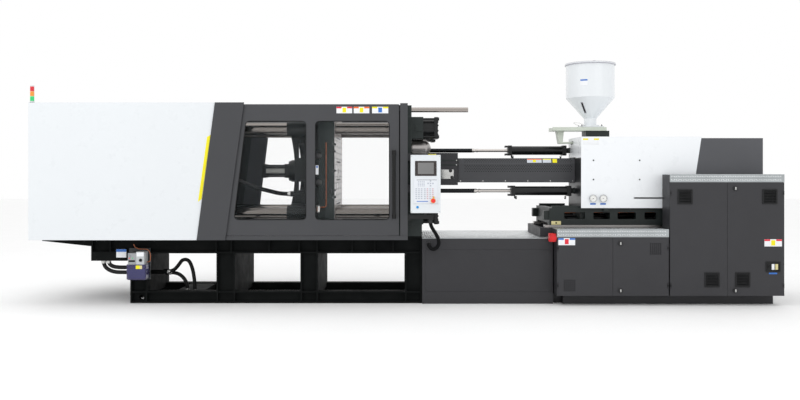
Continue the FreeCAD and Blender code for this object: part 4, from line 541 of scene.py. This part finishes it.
def special_finishes():
    """Finishes of nodes that hold more than one colour, or a shade of their own, with the painted shade
    inside the clamp covers and the painted dark reflection on the tie bars.
    """
    shades = {"gate_frames": ("frame_paint", "#414245", "#6E6F72"),
              "trim_panels": ("trim_paint", "#404144", "#6E6F72"),
              "rear_cover": ("rear_cover_paint", "#525357", "#7A7B7F"),
              "barrel_cover": ("barrel_cover_paint", "#424346", "#6E6F72")}
    special = {node: surface(name, code, 0.46, wear=wear, **CHARCOAL)
               for node, (name, code, wear) in shades.items()}
    behind_face = DOOR_FACE - 0.6
    door = surface("door_paint", "#343437", 0.48, wear="#5C5D60", fields=[
        ((1600, -860, 100), (4200, behind_face, 1500), "#101113", 0.50)], **CHARCOAL)
    for node in ("lower_left_door", "lower_right_door", "tall_left_door", "tall_right_door"):
        special[node] = door
    gate = surface("gate_paint", "#424346", 0.46, wear="#6E6F72", fields=[
        ((-200, -900, 940), (-100, -GATE_FRONT - 0.6, 1730), "#060707", 0.38)], **CHARCOAL)
    special["front_gate"] = special["rear_gate"] = gate
    special["moving_platen"] = surface(
        "platen_moving", "#252C2B", 0.45, machined=(1.0, MOVING_FACE), fields=[
            ((-1700, -620, 900), (-990, 620, 2100), "#0E1212", 0.42)], **CASTING)
    special["fixed_platen"] = surface("platen_fixed", "#252C2B", 0.45,
                                      machined=(-1.0, FIXED_FACE), **CASTING)
    # The covers' inner faces are painted near-black: painted shade for the dim inside of the clamp, not
    # a real dark lining.
    special["clamp_covers"] = surface("cover_white_painted_shade_inside", "#E2E6E9", 0.30, fields=[
        ((LEFT + 3, -COVER_Y + 1, COVER_LOW - 40), (-1500, COVER_Y - 1, COVER_TOP - 2),
         "#0C0E0F", 0.6)], **ENAMEL)
    special["injection_cover"] = surface("unit_white", "#F1F4F7", 0.30, fields=[
        ((WHITE_X[0] - 2, -WHITE_Y + 0.6, 1000), (WHITE_X[0] + 4, 185, 1640),
         "#121416", 0.45)], **ENAMEL)
    # The tie bars' chrome is darker than chrome_bar: a painted dark reflection of the machine's dark
    # surroundings, not a darker metal.
    special["tie_bars"] = surface("chrome_painted_dark_reflection", "#7A7571", 0.14, stretch=DRAWN, **CHROME)
    special["carriage_rods"] = surface("rod_chrome", "#C9C4C0", 0.14, fields=[
        ((FIXED_FACE, -400, 1100), (804, 400, 1900), "#2A2C2E", 0.35)], **CHROME)
    special["ejector_cylinder"] = surface(
        "ejector_black", "#101213", 0.36, wear="#3C4042", grain=300.0, depth=0.03, gloss=0.3,
        fields=[((EJECTOR_X[0] + 50, -63, AXIS_Z - 63), (EJECTOR_X[1] - 75, 63, AXIS_Z + 63),
                 "#C4C5C1", 0.30)])
    return special


def dress_nodes():
    """Give every CAD node its finish."""
    special = special_finishes()
    for part in frame["record"]["subparts"]:
        slots = frame["nodes"][part["node"]].data.materials
        slots.clear()
        slots.append(special.get(part["node"]) or FINISHES[part["material_slot"]])


# ---------------------------------------------------------------- cords
HOSE_R = 21.0
PLATEN_HOSE_R = 24.0
LOOP_R = 22.0
HOSE_A = [(-2768, -300, 324), (-2706, -300, 324), (-2640, -302, 395), (-2596, -303, 462),
          (-2522, -303, 458), (-2482, -302, 370), (-2462, -300, 270), (-2452, -300, 170),
          (-2452, -300, 80)]
HOSE_B = [(-2768, -215, 300), (-2700, -215, 300), (-2620, -215, 260), (-2560, -215, 170),
          (-2560, -215, 80)]
OUTER_LOOP = [(-3424, -540, 476), (-3424, -540, 430), (-3384, -540, 376), (-3304, -540, 343),
              (-3204, -540, 340), (-3104, -540, 340)]
INNER_LOOP = [(-3366, -540, 476), (-3366, -540, 442), (-3330, -540, 410), (-3270, -540, 397),
              (-3187, -540, 396), (-3104, -540, 396)]
CONDUIT = [(264, -782, 944), (264, -782, 900), (288, -780, 850), (322, -776, 800),
           (350, -768, 748), (364, -758, 688), (340, -750, 632), (290, -741, 614),
           (256, -726, 642), (250, -694, 670), (250, -654, 670)]
PLATEN_HOSE = [(-2150, -574, 1452), (-2050, -574, 1452), (-1930, -560, 1398),
               (-1810, -520, 1336), (-1690, -450, 1290), (-1570, -370, 1256),
               (-1450, -300, 1222), (-1340, -300, 1222)]


def ferrule(name, body, place, away, radius, finish):
    """Crimped sleeve and hexagon at a hose end."""
    made = Piece(name, body, finish)
    made.drum(place, away, radius + 3.0, 34.0, 1.5)
    made.drum(place, away, radius + 6.0, 14.0, 1.0, sides=6)
    return made.done()


def make_cord(name, points, radius, finish, node, ends, end_finish,
              step=0.008, ring=None, far_body="base"):
    """Tube along the route's NURBS line, with a fitting at each end.

    ring gives each ring's radius where the tube isn't plain.
    """
    places = evenly(nurbs_route(name, points), step)
    bm = bmesh.new()
    add_tube(bm, places, ring or (lambda k: radius * MM))
    tube = new_mesh_object(name, bm, [FINISHES[finish]])
    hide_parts(node)
    if far_body == "base":
        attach(tube, "base")
    else:
        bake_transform(tube)
    start = Vector(points[1]) - Vector(points[0])
    end = Vector(points[-2]) - Vector(points[-1])
    fittings = [ferrule(ends[0], "base", points[0], start, radius, end_finish),
                ferrule(ends[1], far_body, points[-1], end, radius, end_finish)]


def make_cords():
    """Hoses and conduit as smooth tubes, each with its end fittings."""
    for name, points, radius in (("bed_hose_a", HOSE_A, HOSE_R), ("bed_hose_b", HOSE_B, HOSE_R),
                                 ("bed_hose_c", OUTER_LOOP, LOOP_R),
                                 ("bed_hose_d", INNER_LOOP, LOOP_R)):
        make_cord(name, points, radius, "hose_rubber", "bed_hoses",
                  (name + "_sleeve_1", name + "_sleeve_2"), "bright_steel")

    def folds(k):
        return (20.9 if k % 4 < 2 else 18.9) * MM

    make_cord("panel_conduit_tube", CONDUIT, HOSE_R, "conduit_black", "panel_conduit",
              ("conduit_nut", "conduit_low_nut"), "switch_black",
              step=0.0022, ring=folds)
    make_cord("platen_hose_tube", PLATEN_HOSE, PLATEN_HOSE_R, "hose_rubber", "platen_hose",
              ("platen_hose_sleeve_1", "platen_hose_sleeve_2"), "bright_steel",
              far_body="moving_platen")


# ---------------------------------------------------------------- blank plates
def blank_plate(name, body, x, z, face_y, base, bands=()):
    """Thin blank plate on a face towards -Y; a band is (x share, z share, finish)."""
    plate = Piece(name, body, base, *[band[2] for band in bands])
    plate.slab(x, (face_y - 0.9, face_y - 0.05), z, 0.35)
    wide, tall, rim = x[1] - x[0], z[1] - z[0], 0.6
    for k, ((x0, x1), (z0, z1), _) in enumerate(bands):
        plate.slab((x[0] + wide * x0 + rim, x[0] + wide * x1 - rim),
                   (face_y - 1.15, face_y - 0.85),
                   (z[0] + tall * z0 + rim, z[0] + tall * z1 - rim), 0.0, k + 1)
    plate.done()


def banded_plate(name, body, x, z, face_y, top, field=None):
    """Blank white plate with a coloured band at each end of its top and a plain centre."""
    bands = [((0, 0.33), (0.74, 1), top), ((0.67, 1), (0.74, 1), top)]
    if field:
        bands.append(((0.38, 0.62), (0.12, 0.88), field))
    blank_plate(name, body, x, z, face_y, "white_film", bands)


def make_plates():
    """Every label place, left blank."""
    for k, (x, top, field) in enumerate((((-770, -597), "red_film", "yellow_film"),
                                         ((-580, -408), "orange_film", "yellow_film"),
                                         ((-378, -199), "yellow_film", "blue_film"))):
        banded_plate(f"gate_plate_{k + 1}", "front_gate", x, (2121, 2193), -GATE_FRONT, top, field)
    banded_plate("cover_plate", "carriage", (2010, 2193), (1786, 1858), -WHITE_Y,
                 "yellow_film")
    banded_plate("lower_door_plate", "lower_left_door", (1672, 1857), (669, 747), DOOR_FACE,
                 "blue_film", "red_film")
    banded_plate("tall_door_plate", "tall_right_door", (3940, 4132), (655, 734), DOOR_FACE,
                 "red_film", "yellow_film")
    blank_plate("bed_plate", "base", (-3261, -3148), (513, 606), -600.0, "white_film",
                [((0, 1), (0.68, 1), "blue_film")])
    blank_plate("carriage_plate", "carriage", (1660, 1770), (873, 914), -450.0, "cream_film",
                [((0.42, 0.58), (0.25, 0.75), "gap_black")])
    for k, x in enumerate(GAUGES_X):
        blank_plate(f"gauge_plate_{k + 1}", "carriage", (x - 32, x + 32), (1103, 1122),
                    -WHITE_Y, "blue_film")
    for k, x in enumerate(((85, 178), (260, 353))):
        blank_plate(f"guard_field_{k + 1}", "base", x, (1643, 1688), GUARD_FRONT,
                    "yellow_film")
    blank_plate("reservoir_plate", "base", (-2992, -2922), (402, 440), -756.0, "yellow_film",
                [((0.62, 1), (0, 1), "cream_film")])
    blank_plate("platen_plate", "moving_platen", (-1022, -988), (1446, 1550), -582.0,
                "white_film", [((0.2, 0.8), (0.72, 0.95), "blue_film")])


# ---------------------------------------------------------------- clamp end
def slanted(z, top_x, low_x):
    """X at height z of an edge that leans from low_x at the covers' foot to top_x."""
    share = (z - COVER_LOW) / (COVER_TOP - COVER_LOW)
    return low_x + share * (top_x - low_x)


def accent_stripes():
    """Slanted stripe with chamfered ends on the white cover, front and rear."""
    low, high = 1147.0, 1881.0

    def edge(z, gap):
        return slanted(z, -2105.0, -2306.0) - gap

    outline = [(edge(low, 2), low + 30), (edge(high, 2), high), (edge(high, 40), high - 20),
               (edge(low, 42), low)]
    for name, y in (("accent_front", (-COVER_Y - 2.0, -COVER_Y - 0.05)),
                    ("accent_rear", (COVER_Y + 0.05, COVER_Y + 2.0))):
        Piece(name, "base", "yellow_film").prism(outline, *y, 0.6).done()


def tower_lenses():
    """Ribbed lens sleeves over the signal tower's three sections."""
    x, y, foot, step = LEFT + 30, -770.0, 16, 54
    for k, colour in enumerate(("lens_green", "lens_amber", "lens_red")):
        lens = Piece("tower_" + colour, "base", colour, slot="tower_lens")
        low = COVER_TOP + foot + step * k
        lens.drum((x, y, low + 1), (0, 0, 1), 21.6, 52, 1.0)
        for rib in range(9):
            lens.drum((x, y, low + 4 + 5.2 * rib), (0, 0, 1), 22.6, 2.6, 0.8)
        lens.done()
    Piece("tower_foot", "base", "switch_black").drum(
        (x, y, COVER_TOP + 0.2), (0, 0, 1), 27.0, 5, 1.0).done()


def rounded_outline(corners, radius, steps=6):
    """Points of a closed outline with round corners."""
    points = []
    count = len(corners)
    for k in range(count):
        before, corner, after = (Vector(corners[(k + j) % count]) for j in (-1, 0, 1))
        into, out = (before - corner).normalized(), (after - corner).normalized()
        half = math.acos(max(-1.0, min(1.0, into.dot(out)))) / 2
        reach = radius / math.tan(half)
        centre = corner + (into + out).normalized() * radius / math.sin(half)
        start, end = corner + into * reach - centre, corner + out * reach - centre
        for step in range(steps + 1):
            arm = start.lerp(end, step / steps).normalized() * radius
            points.append(tuple(centre + arm))
    return points


def window_seals():
    """Rubber lip round each gate window, front and rear."""
    trim_low, trim_high = 948.0, 2034.0
    left = (slanted(trim_low, TRIM_TOP_X, TRIM_LOW_X) + 62,
            slanted(trim_high, TRIM_TOP_X, TRIM_LOW_X) + 46)
    windows = {"left": [(left[0], trim_low), (left[1], trim_high), (-1106, trim_high),
                        (-1106, trim_low)],
               "right": [(-1003, trim_low), (-1003, trim_high), (-188, trim_high),
                         (-188, trim_low)]}
    for side, body in ((-1, "front_gate"), (1, "rear_gate")):
        for name, corners in windows.items():
            outline = rounded_outline([Vector(c) for c in corners], 45.0)
            places = [at(x, side * (GATE_FRONT - 0.5), z) for x, z in outline]
            places.append(places[0].copy())
            Piece(f"{body}_seal_{name}", body, "gap_black").tube(places, 4.2, 10).done()


def platen_details():
    """Grooves and tapped holes of the platen faces, lubrication line and small levers."""
    pitch, reach = 70.0, 8       # of the tapped holes, and how many lie each side of the axis
    for name, body, face, side in (("moving_grid", "moving_platen", MOVING_FACE, 1),
                                   ("fixed_grid", "base", FIXED_FACE, -1)):
        grid = Piece(name, body, "gap_black", "bright_steel")
        for row in range(-reach, reach + 1):
            for column in range(-reach, reach + 1):
                y, z = column * pitch, AXIS_Z + row * pitch
                from_bar = math.hypot(abs(y) - BAR_OFF, abs(z - AXIS_Z) - BAR_OFF)
                from_ring = math.hypot(y, z - AXIS_Z)
                if from_bar < 130 or from_ring < 120 or abs(y) > 590:
                    continue
                grid.drum((face - side * 0.6, y, z), (side, 0, 0), 13.0, 0.9, 0.0, 1, 20)
                grid.drum((face - side * 0.4, y, z), (side, 0, 0), 9.0, 0.9, 0.0, 0, 16)
        for z in (-385.0, -105.0, 105.0, 385.0):
            grid.slab(tuple(sorted((face - side * 0.4, face + side * 0.4))), (-300, 300),
                      (AXIS_Z + z - 7, AXIS_Z + z + 7), 0.0, 0)
        grid.done()
    y = -PLATEN_Y - 6
    line = [at(-899, y, 1806), at(-899, y, 1130), at(-899, y, 1096), at(-906, y, 1084),
            at(-920, y, 1080), at(-975, y, 1080)]
    Piece("platen_lube_pipe", "moving_platen", "copper").tube(line, 4.5, 12).done()
    block = Piece("platen_manifold", "moving_platen", "bright_steel", "copper")
    block.slab((-1024, -968), (-PLATEN_Y - 26, -580), (1022, 1096), 2.5)
    for z in (1040, 1058, 1076):
        block.drum((-996, -PLATEN_Y - 25, z), (0, -1, 0), 6.5, 9, 1.0, 1, 6)
    block.done()
    levers = Piece("platen_levers", "moving_platen", "switch_black")
    for z in (1708, 1271):
        levers.slab((-860, -790), (-PLATEN_Y - 18, -PLATEN_Y - 2), (z - 11, z + 9), 4.0)
        levers.drum((-850, -PLATEN_Y - 24, z), (0, 1, 0), 15, 26, 2.0)
    levers.done()


def reservoir_details():
    """Grease under its follower plate, and the pump's controls."""
    inner = Piece("reservoir_grease", "base", "blue_film", "gap_black")
    inner.slab((-3082, -2898), (-742, -628), (296, 402), 4.0, 0)
    inner.slab((-3086, -2894), (-746, -624), (404, 412), 1.5, 1)
    inner.done()
    trim = Piece("pump_trim", "base", "gap_black", "button_red",
                 "lens_green", "white_film")
    front = -749.8       # of the pump's housing
    trim.slab((-3072, -3002), (front - 1.6, front), (478, 498), 1.0, 0)
    for material, x in ((1, -3064), (2, -3028)):
        trim.drum((x, front, 520), (0, -1, 0), 6, 4, 1.0, material, 20)
    trim.slab((-2984, -2906), (front - 1.2, front), (540, 584), 0.6, 3)
    trim.drum((-2940, front, 498), (0, -1, 0), 17, 9, 2.5, 0, 28)
    trim.done()


# ---------------------------------------------------------------- treads
def tread_pattern(name, x, y, z, upright=False):
    """Raised five-bar pattern on a tread: lozenges in alternating directions."""
    bm = bmesh.new()
    pitch, long_r, short_r, lift = 26.0, 11.5, 3.6, 1.4
    depth = z if upright else y
    columns = int((x[1] - x[0] - 16) / pitch)
    rows = int((depth[1] - depth[0] - 10) / pitch)
    for column in range(columns):
        for row in range(rows):
            u = x[0] + 8 + pitch * (column + 0.5)
            v = depth[0] + 5 + (depth[1] - depth[0] - 10) * (row + 0.5) / rows
            turn = math.radians(45 if (column + row) % 2 else -45)
            rings = []
            for height, shrink in ((0.0, 1.0), (lift, 0.6)):
                ring = []
                for p, q in oval(long_r * shrink, short_r * shrink, 6):
                    du = p * math.cos(turn) - q * math.sin(turn)
                    dv = p * math.sin(turn) + q * math.cos(turn)
                    place = (at(u + du, y[0] - height, v + dv) if upright
                             else at(u + du, v + dv, z[1] + height))
                    ring.append(bm.verts.new(place))
                rings.append(ring)
            for j in range(6):
                k = (j + 1) % 6
                bm.faces.new((rings[0][j], rings[0][k], rings[1][k], rings[1][j]))
            bm.faces.new(rings[1])
    bmesh.ops.recalc_face_normals(bm, faces=bm.faces)
    made = new_mesh_object(name, bm, [FINISHES["tread_bars"]])
    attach(made, "base")


def make_treads():
    """Patterns of the base deck and of both cabinets' folded tops."""
    tread_pattern("deck_pattern", (181, 1529), (-638, 638), (729, 735))
    tread_pattern("deck_front_pattern", (1530, 1641), (-638, -454), (729, 735))
    for name, x, low in (("lower", (1657, 2889), 757.0), ("tall", (2900, 4160.5), 1362.0)):
        tread_pattern(name + "_riser_pattern", x, (-COVER_Y, -COVER_Y), (low, low + 87), True)
        tread_pattern(name + "_cap_pattern", x, (-798, -542), (low + 81, low + 87))


# ---------------------------------------------------------------- injection end
def on_lean(x, z, proud=0.0):
    """Point on the leaning strip of the barrel's cover, or a little proud of it."""
    return at(x, SHIELD_Y - proud + (z - SHIELD_BEND) * SHIELD_LEAN, z)


def lean_strip(plate, x, z, proud, material):
    """Flat strip between the pairs x and z, on the leaning part of the barrel's cover."""
    corners = ((x[0], z[0]), (x[1], z[0]), (x[1], z[1]), (x[0], z[1]))
    plate.face([on_lean(cx, cz, proud) for cx, cz in corners], material)


def barrel_cover_details():
    """Slots, screws and blank plates of the barrel cover."""
    def along(row):
        first, pitch, count = 694, 27.5, 46
        return [first + pitch * (column + row % 2 / 2) for column in range(count)]

    slots = Piece("cover_slots", "carriage", "gap_black")
    for row, z in enumerate((1556, 1538, 1520, 1502, 1484)):
        for x in along(row):
            slots.prism([(x + u, z + v) for u, v in oval(7.5, 4.4, 12)],
                        SHIELD_Y - 0.05, SHIELD_Y + 0.6)
    for row, z in enumerate((1626, 1610, 1594)):
        for x in along(row):
            if not 1430 < x < 1790:
                slots.face([on_lean(x + u, z + v) for u, v in oval(7.5, 4.0, 12)])
    slots.done()
    screws = Piece("cover_screws", "carriage", "bright_steel")
    for column in range(6):
        screws.drum((640 + 264 * column, -189.9, 1372), (0, -1, 0), 7.0, 3.2, 1.2, 0, 20)
    screws.done()
    z = (1586, 1632)
    for name, x, band, field in (("cover_mark_1", (1424, 1596), "orange_film", "yellow_film"),
                                 ("cover_mark_2", (1608, 1708), "yellow_film", None),
                                 ("cover_mark_3", (1724, 1776), "yellow_film", None)):
        plate = Piece(name, "carriage", "grey_film", band, field or band)
        whole = name == "cover_mark_3"
        lean_strip(plate, x, z, 0.6, 1 if whole else 0)
        if not whole:
            lean_strip(plate, (x[0] + 1, x[1] - 1), (z[1] - 11, z[1] - 1), 1.0, 1)
        if field:
            lean_strip(plate, (x[0] + 68, x[1] - 68), (z[0] + 6, z[1] - 13), 1.2, 2)
        plate.done()


def cover_details():
    """Screws and dials on the white cover."""
    screws = Piece("white_cover_screws", "carriage", "switch_black")
    for x in (2129, 2654):
        for z in (1608, 1390):
            screws.drum((x, -WHITE_Y + 0.1, z), (0, -1, 0), 8.5, 5, 1.6, 0, 24)
            screws.drum((x, -WHITE_Y - 4.7, z), (0, -1, 0), 5.0, 1.0, 0.0, 0, 6)
    screws.done()
    for number, x in enumerate(GAUGES_X):
        dial = Piece(f"gauge_dial_{number + 1}", "carriage", "dial_face",
                     "gap_black", "red_film")
        face = -WHITE_Y - 20
        dial.drum((x, face - 0.1, GAUGE_Z), (0, -1, 0), 37.0, 1.2, 0.3, 0, 48)
        half = 0.7           # of a tick's square dots
        for tick in range(28):
            angle = math.radians(225 - 10 * tick)
            for step in range(2 if tick % 5 else 3):
                reach = 33.5 - 2.2 * step
                u, v = x + reach * math.cos(angle), GAUGE_Z + reach * math.sin(angle)
                dial.slab((u - half, u + half), (face - 1.7, face - 1.2),
                          (v - half, v + half), 0.0, 1)
        angle = math.radians(205)
        ahead = Vector((math.cos(angle), math.sin(angle)))
        side = Vector((-ahead.y, ahead.x))
        tip, tail = ahead * 28, ahead * -9
        outline = [tuple(Vector((x, GAUGE_Z)) + p) for p in
                   (tip, side * 1.6, tail + side * 1.8, tail - side * 1.8, side * -1.6)]
        dial.prism(outline, face - 2.6, face - 1.9, 0.0, 1)
        dial.drum((x, face - 1.2, GAUGE_Z), (0, -1, 0), 5.0, 3.0, 0.8, 1, 24)
        dial.done()
        ring = [at(x + u, -WHITE_Y - 25.5, GAUGE_Z + v) for u, v in oval(41, 41, 48, True)]
        Piece(f"gauge_rim_{number + 1}", "carriage", "gauge_case").tube(ring, 3.4, 12).done()


def guard_details():
    """Bright purge block with two dark knobs behind the nozzle guard's window."""
    block = Piece("purge_block", "base", "bright_steel", "switch_black")
    block.slab((395, 576), (-222, -206), (1384, 1519), 5.0, 0)
    for x, z in ((522, 1492), (540, 1412)):
        block.drum((x, -221.8, z), (0, -1, 0), 20, 12, 3.0, 1, 32)
        block.drum((x, -233.5, z), (0, -1, 0), 10, 5, 1.0, 1, 6)
    block.done()
    strap = Piece("guard_straps", "base", "casting_paint", "bright_steel")
    for z in (1560, 1612):
        strap.slab((70, 600), (GUARD_FRONT - 3.5, GUARD_FRONT + 0.1), (z - 9, z + 9), 1.2, 0)
    for x, z in ((90, 1560), (590, 1560), (590, 1612), (90, 1612)):
        strap.drum((x, GUARD_FRONT - 3.2, z), (0, -1, 0), 6.5, 4, 1.2, 1, 20)
    strap.done()


def hopper_details():
    """Rolled rim, sight glass, blank plate, foot bolts and the shutter lever."""
    rim_r = HOPPER_R + 8
    ring = [at(HOPPER_X + u, v, HOPPER_TOP - 12) for u, v in oval(rim_r, rim_r, 96, True)]
    Piece("hopper_rim", "hopper", "lid_grey").tube(ring, 5.5, 12).done()

    slope_top, slope_low, neck_r = 2358.0, 2115.0, 73.0

    def round_place(radius, angle, z):
        return at(HOPPER_X + radius * math.sin(angle), -radius * math.cos(angle), z)

    def glass_corner(z, sideways, lift):
        share = (z - slope_low) / (slope_top - slope_low)
        radius = neck_r + share * (HOPPER_R - neck_r)
        return round_place(radius + lift, math.radians(-38) + sideways / radius, z)

    glass = Piece("hopper_sight_glass", "hopper", "gap_black", "lid_grey")
    for material, half, lift, low, high in ((1, 15.0, 1.0, 2172, 2298),
                                            (0, 9.5, 2.2, 2180, 2290)):
        glass.face([glass_corner(z, sideways, lift) for z, sideways in
                    ((low, -half), (low, half), (high, half), (high, -half))], material)
    glass.done()

    plate = Piece("hopper_plate_mark", "hopper", "white_film", "blue_film")
    steps = 6
    turns = [math.radians(-36 + 17.0 * j / steps) for j in range(steps + 1)]
    for material, low, high, lift in ((0, 2490, 2560, 0.8), (1, 2542, 2559, 1.4)):
        for a0, a1 in zip(turns, turns[1:]):
            plate.face([round_place(HOPPER_R + lift, a, z) for a, z in
                        ((a0, low), (a1, low), (a1, high), (a0, high))], material)
    plate.done()

    bolts = Piece("hopper_bolts", "hopper", "switch_black")
    plate_top, flange = 1966 + 30, 26
    foot_z = plate_top + 0.3 + flange
    for x in (-118, 118):
        for y in (-86, 86):
            bolts.drum((HOPPER_X + x, y, foot_z), (0, 0, 1), 9, 9, 1.5, 0, 6)
            bolts.drum((HOPPER_X + x, y, foot_z + 8), (0, 0, 1), 4.5, 12, 1.0, 0, 16)
    bolts.done()
    wire = [(2128, -112, 2024), (2100, -116, 2040), (2052, -118, 2056), (1990, -118, 2062),
            (1984, -118, 2056), (1996, -118, 2046), (2060, -117, 2018), (2110, -113, 2010)]
    Piece("hopper_lever", "hopper", "bright_steel").tube(
        [at(*place) for place in wire], 2.4, 10).done()


def cylinder_details():
    """Port fittings and tie rod nuts of the carriage cylinders."""
    fittings = Piece("cylinder_fittings", "carriage", "bright_steel",
                     "switch_black")
    for y, z in ((140.0, 1738.0), (-140.0, 1255.0)):
        for x in (1300.0, 1880.0):
            fittings.drum((x, y, z - 61), (0, 0, -1), 13, 22, 2.0, 0, 6)
            fittings.drum((x, y, z - 82), (0, 0, -1), 10, 16, 2.0, 1, 24)
        for dy in (-48, 48):
            for dz in (-48, 48):
                fittings.drum((1206, y + dy, z + dz), (1, 0, 0), 13, 12, 1.5, 1, 6)
    fittings.done()


def carriage_webs():
    """Inner web of the sledge between its cross ties, with two oil lines along it."""
    webs = Piece("carriage_webs", "carriage", "bed_paint", "copper",
                 "hose_rubber")
    for x in ((1729, 2001), (2095, 2328), (2422, 3098), (3192, 3858)):
        webs.slab(x, (-6, 6), (935, 986), 1.0, 0)
        webs.drum((x[0] + 2, -150, 1000), (1, 0, 0), 11, x[1] - x[0] - 4, 0.0, 1, 20)
        webs.drum((x[0] + 2, -190, 962), (1, 0, 0), 14, x[1] - x[0] - 4, 0.0, 2, 20)
    webs.done()


def ejector_rails():
    """Black side rails of the ejector cylinder, in front of and behind its bright tube."""
    rails = Piece("ejector_rails", "moving_platen", "black_steel")
    for y in ((-82, -64), (64, 82)):
        for z in (28, -57):
            rails.slab((EJECTOR_X[0] + 51, EJECTOR_X[1] - 76), y,
                       (AXIS_Z + z, AXIS_Z + z + 29), 2.0, 0)
    rails.done()


def gate_stops():
    """Rubber strips on the stiles that close the slit beside the shut gates."""
    strips = Piece("gate_stop_strips", "base", "hose_rubber")
    for y in ((-743, -737), (737, 743)):
        strips.slab((-104, -62), y, (960, 2216), 1.5, 0)
    strips.done()


# ---------------------------------------------------------------- panel and cabinets
def panel_details():
    """Screen, bezel, membrane keypad and rings of the control panel."""
    front = PANEL_FRONT
    bezel = Piece("screen_bezel", "panel", "bezel", slot="switch_black")
    outer, inner = (93.0, 328.0, 1431.0, 1594.0), (124.0, 298.0, 1452.0, 1576.0)
    y = (front - 3.0, front - 0.05)
    for x in ((outer[0], inner[0]), (inner[1], outer[1])):
        bezel.slab(x, y, outer[2:], 1.0)
    for z in ((outer[2], inner[2]), (inner[3], outer[3])):
        bezel.slab((inner[0] - 1, inner[1] + 1), y, z, 1.0)
    bezel.done()
    Piece("screen_glass", "panel", "screen").slab(
        (121, 301), (front - 1.6, front - 0.4), (1449, 1579), 0.4).done()

    keypad = Piece("keypad", "panel", "keypad_film", "key_grey",
                   "key_rose", "blue_film", "gap_black")
    keypad.slab((79, 341), (front - 0.6, front + 1.9), (1133, 1407), 0.3, 0)
    raised = (front - 1.7, front - 0.5)

    def keys(x0, z0, columns, rows, pitch_x, pitch_z, size, rose=()):
        for column in range(columns):
            for row in range(rows):
                x, z = x0 + pitch_x * column, z0 - pitch_z * row
                keypad.slab((x - size[0] / 2, x + size[0] / 2), raised,
                            (z - size[1] / 2, z + size[1] / 2), 0.5, 2 if column in rose else 1)

    keys(132, 1370, 4, 4, 20, 16, (12, 8))
    keys(107, 1290, 3, 6, 29, 21, (17, 10))
    keys(200, 1290, 4, 6, 29, 21, (17, 10), rose=(1, 3))
    for dx, dz in ((0, 26), (0, -26), (26, 0), (-26, 0), (0, 0)):
        keypad.slab((262 + dx - 8, 262 + dx + 8), raised, (1350 + dz - 7, 1350 + dz + 7), 0.5, 1)
    keypad.slab((112, 330), (front - 1.0, front - 0.5), (1386, 1390), 0.0, 4)
    keypad.slab((112, 236), (front - 1.0, front - 0.5), (1150, 1158), 0.0, 3)
    keypad.done()
    ring = Piece("stop_ring", "panel", "button_yellow", slot="button_red")
    ring.drum((291, front - 5.9, 1161), (0, -1, 0), 28.0, 1.6, 0.5, 0, 48)
    ring.done()
    yellow = Piece("yellow_button", "panel", "button_yellow", "bright_steel")
    yellow.drum((296, front - 0.5, 1199), (0, -1, 0), 12, 2.2, 0.6, 1, 32)
    yellow.drum((296, front - 2.6, 1199), (0, -1, 0), 9, 5, 1.4, 0, 32)
    yellow.done()
    screws = Piece("panel_screws", "panel", "bright_steel")
    for x in (58, 360):
        for z in (1040, 1646):
            screws.drum((x, front + 0.1, z), (0, -1, 0), 4.5, 2.0, 0.8, 0, 20)
    screws.done()


def cabinet_details():
    """Key locks on the latches, breaker trim and screws of the base's access panel."""
    for name, (x, z) in LATCHES.items():
        lock = Piece(name + "_lock", name + "_latch", "switch_black", "bright_steel")
        lock.tube([at(x + u, DOOR_FACE - 12.5, z + v) for u, v in oval(20.5, 20.5, 40, True)], 3.0, 10)
        lock.slab((x - 6.5, x + 6.5), (DOOR_FACE - 21.5, DOOR_FACE - 19.8), (z - 15, z + 15), 0.6, 1)
        lock.done()
    x, z = SWITCH
    trim = Piece("breaker_trim", "tall_right_door", "white_film",
                 "cream_film", "blue_film")
    for material, low in enumerate((x + 61, x + 101)):
        trim.slab((low, low + 30), (DOOR_FACE - 9.2, DOOR_FACE - 7.9), (z + 26, z + 88), 0.5, material)
    trim.slab((x + 34, x + 124), (DOOR_FACE - 1.2, DOOR_FACE - 0.05), (z - 24, z - 6), 0.3, 2)
    trim.done()
    panel = Piece("access_panel_screws", "base", "switch_black")
    for px in (232, 700, 1145, 1613):
        for pz in (150, 588):
            panel.drum((px, -640.1, pz), (0, -1, 0), 7.5, 4, 1.4, 0, 24)
    panel.done()
    flap = Piece("socket_spring_boss", "socket_flap", "socket_red")
    flap.drum((1616, -800.8, 748), (0, -1, 0), 26, 5, 2.0, 0, 36)
    flap.done()


# ---------------------------------------------------------------- build
make_finishes()
make_camera()
make_stage()
dress_nodes()
make_cords()
make_plates()
accent_stripes()
tower_lenses()
window_seals()
platen_details()
reservoir_details()
make_treads()
barrel_cover_details()
cover_details()
guard_details()
hopper_details()
cylinder_details()
carriage_webs()
ejector_rails()
gate_stops()
panel_details()
cabinet_details()
